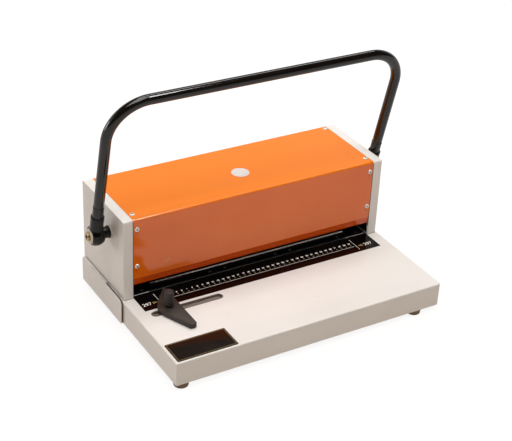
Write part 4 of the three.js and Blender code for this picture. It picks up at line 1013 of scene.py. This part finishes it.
# Dark strips of painted shade: one inside the tray's face along its gap, strips at the panels' feet and
# beside the cover where their joints lie in shade, and dark blocks before the die for the shade in its gaps.
# Blocks are given as x, y and z from and to.
gapShadeSet = Named(
    feltFrom=-194.4, feltTo=-192.6, feltInset=0.7, feltWidth=1.6, feltEnd=40.0, feltSteps=10,
    faceFront=-1.9, faceFoot=-31, faceTop=1.8, faceRadius=8,
    foldFelt=(-191.05, -190.55, 46, 113, 0.12, 1.72),
    footFrom=0.02, footHeight=0.6, panelOuter=190.45, panelInner=177.2,
    sideHalf=0.45, sideFoot=14.5, sideTop=109.5, proud=0.12, sunk=0.3,
    dieSeals=(
        (-152.5, 176.8, 4.25, 4.75, -0.3, 0.12), (176.85, 178.35, 4.3, 47, -0.3, 0.15),
        (-178.35, -176.85, 4.3, 47, -0.3, 0.15),
    ),
)


# The tray's strip of painted shade follows the face's edge up its front, round the corner and back along the
# top.
def makeGapShades(its):
    outer, inner = (
        roundedPath([
            (its.faceFront + offset, its.faceFoot),
            (its.faceFront + offset, its.faceTop - offset, its.faceRadius - offset),
            (its.feltEnd, its.faceTop - offset),
        ], its.feltSteps)
        for offset in (its.feltInset, its.feltInset + its.feltWidth)
    )
    trayShade = bandGrid(outer, inner, its.feltFrom, its.feltTo)[..., alongX].swapaxes(0, 1)
    makePiece("trayGapShade", [placed(trayShade), blockGrid(*its.foldFelt)], "sealFelt", "brown_rubber", "tray")
    front, back, half = -its.proud, its.sunk, its.sideHalf
    gapShades = []
    for side in (-1, 1):
        middle = side * its.panelInner
        x0, x1 = sorted((side * its.panelOuter, middle))
        gapShades.append(blockGrid(x0, x1, front, back, its.footFrom, its.footHeight))
        gapShades.append(blockGrid(middle - half, middle + half, front, back, its.sideFoot, its.sideTop))
    makePiece("panelGapShade", gapShades, "sealFelt", "brown_rubber")
    makePiece("dieSeals", [blockGrid(*block) for block in its.dieSeals], "blackenedSteel", "blackened_steel")


makeGapShades(gapShadeSet)

# Bright strips along the top of the guide blocks' fronts, leaning back a little
stripSet = Named(
    spans=((-148.8, -51.6), (-51.3, 45.9), (46.2, 143.4)), gap=0.25, foot=(10.18, 7.6),
    head=(10.44, 8.75), back=10.49,
)


def makeStrips(its):
    back, footZ, headZ = its.back, its.foot[1], its.head[1]
    section = np.array([its.foot, its.head, (back, headZ), (back, footZ)])
    grids = [
        placed(stacked([(section, x0 + its.gap), (section, x1 - its.gap)])[..., alongX])
        for x0, x1 in its.spans
    ]
    makePiece("blockStrips", grids, "rubbedSteel", "bright_steel")


makeStrips(stripSet)
print("stage: seals and strips made")

# Return springs round the ram's posts: closed turns at both ends, open turns between
springSet = Named(
    places={"left": -160.7, "right": 155.3}, row=32.5, foot=0.08, head=36.5, coil=7.5, wire=0.9,
    ground=0.35, closed=1, open=4.5, pitch=2.5, steps=24, sides=12, keep=0.75,
)


# The wire's middle runs on a helix. Its height rises by the closed pitch in the end turns and by an equal
# share of what is left in each open turn. The first and last turn are ground flat.
def makeSprings(its):
    closed, opened, wire = its.closed, its.open, its.wire
    low, high = its.foot + wire - its.ground, its.head - wire + its.ground
    turns = opened + 2 * closed
    turn = np.linspace(0, turns, round(turns * its.steps) + 1)
    openRise = high - low - 2 * closed * its.pitch
    height = low + its.pitch * (np.clip(turn, 0, closed) + np.clip(turn - closed - opened, 0, closed))
    height += np.clip((turn - closed) / opened, 0, 1) * openRise
    angle = 2 * pi * turn[:, None]
    around = roundAngles(its.sides)
    radius = its.coil + wire * np.cos(around)
    z = np.clip(height[:, None] + wire * np.sin(around), its.foot, its.head)
    grid = np.stack([radius * np.cos(angle), radius * np.sin(angle), z], axis=2)
    for side, x in its.places.items():
        place = (x, its.row, 0)
        name = "returnSpring" + side.title()
        spring = makePiece(name, [placed(grid, place)], "drawnWire", "return_spring_" + side)
        list(atHousing(place))
        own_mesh(spring)


makeSprings(springSet)
print("stage: springs made")

# Small screws, flush in the die plate in front of the guide blocks
dieScrewSet = Named(
    row=12.9, across=(-159.5, -61.5, -39.3, 37.2, 60.5, 136.2, 166.7), radius=1.9, socket=1.0, depth=0.7,
    proud=(0.08, 0.1), edge=0.25, edgeSunk=0.1, foot=1.2, steps=24,
)


def makeDieScrews(its):
    inner, outer = its.proud
    profile = (
        (0, -its.depth), (its.socket, -its.depth), (its.socket, inner),
        (its.radius - its.edge, outer), (its.radius, -its.edgeSunk),
        (its.radius, -its.foot), (0, -its.foot),
    )
    grids = [placed(turnedGrid(profile, its.steps), (x, its.row, 0)) for x in its.across]
    makePiece("dieScrews", grids, "zincPlate", "zinc_plate")


makeDieScrews(dieScrewSet)

# Prints on the hole scale: a number for every hole, measuring lines and a plain figure for the sheet's
# length. Number and figure weights thicken the letters by that share of their size.
printSet = Named(
    top=0.5, thickness=0.03, count=39, pitch=7.5, middle=-2.7, numberRow=-12.4, numberSize=3.7,
    numberWeight=0.055, tickRow=-16.0, tickHeight=1.6, tickWidth=1.8,
    lineFrom=-150, lineTo=143, lineRow=-19.7, lineWidth=0.5,
    ends=(-151, 146), endFront=-28.7, endRear=-2.4, endWidth=0.6,
    arrowRow=-20.6, arrowLength=8, arrowHeight=5, arrowGap=1.5,
    figure="297", figureSize=8.2, figureWeight=0.012, figureDrop=2.9, figureShifts=(-17.5, 18),
)


# Several letterings, each at its own place, as one white piece.
def makeLettering(name, texts, size, weight):
    vertices, faces, start = [], [], 0
    middle = printSet.top + printSet.thickness / 2
    for words, x, y in texts:
        curve = bpy.data.curves.new("lettering", "FONT")
        curve.body = words
        curve.size = size
        curve.align_x = "CENTER"
        curve.extrude = printSet.thickness / 2
        curve.offset = size * weight
        carrier = addObject("lettering", curve)
        bpy.context.view_layer.update()
        letters = carrier.evaluated_get(bpy.context.evaluated_depsgraph_get())
        mesh = bpy.data.meshes.new_from_object(letters)
        vertices += [np.array(vertex.co) + (x, y, middle) for vertex in mesh.vertices]
        faces += [[start + corner for corner in polygon.vertices] for polygon in mesh.polygons]
        start = len(vertices)
        bpy.data.batch_remove([carrier, curve, mesh])
    mesh = bpy.data.meshes.new(name)
    mesh.from_pydata(placed(vertices).tolist(), [], faces)
    cleanMesh(mesh, cleanSet.printSharp)
    dressPiece(name, mesh, "whitePrint", "scale_print")


def makePrints(its):
    low, high = its.top, its.top + its.thickness
    across = its.middle + (np.arange(its.count) - (its.count - 1) / 2) * its.pitch
    numbers = [(str(i + 1), x, its.numberRow) for i, x in enumerate(across)]
    makeLettering("scaleNumbers", numbers, its.numberSize, its.numberWeight)
    row, tall, wide = its.tickRow, its.tickHeight / 2, its.tickWidth / 2
    ticks = [blockGrid(x - wide, x + wide, row - tall, row + tall, low, high) for x in across]
    makePiece("scaleTicks", ticks, "tanPrint", "scale_print")
    row, tall, wide = its.lineRow, its.lineWidth / 2, its.endWidth / 2
    lines = [blockGrid(its.lineFrom, its.lineTo, row - tall, row + tall, low, high)]
    lines += [blockGrid(x - wide, x + wide, its.endFront, its.endRear, low, high) for x in its.ends]
    makePiece("scaleLines", lines, "whitePrint", "scale_print")
    row, tall = its.arrowRow, its.arrowHeight / 2
    arrows = []
    for x, way in zip(its.ends, (-1, 1)):
        tip = x + way * its.arrowGap
        base = tip + way * its.arrowLength
        outline = np.array([(tip, row), (base, row - tall), (base, row + tall)])
        arrows.append(placed(stacked([(outline, low), (outline, high)])))
    makePiece("scaleArrows", arrows, "goldPrint", "scale_print")
    shifts = zip(its.ends, its.figureShifts)
    figures = [(its.figure, x + shift, row - its.figureDrop) for x, shift in shifts]
    makeLettering("sheetFigures", figures, its.figureSize, its.figureWeight)


makePrints(printSet)
print("stage: prints made")

print("stage: finished")
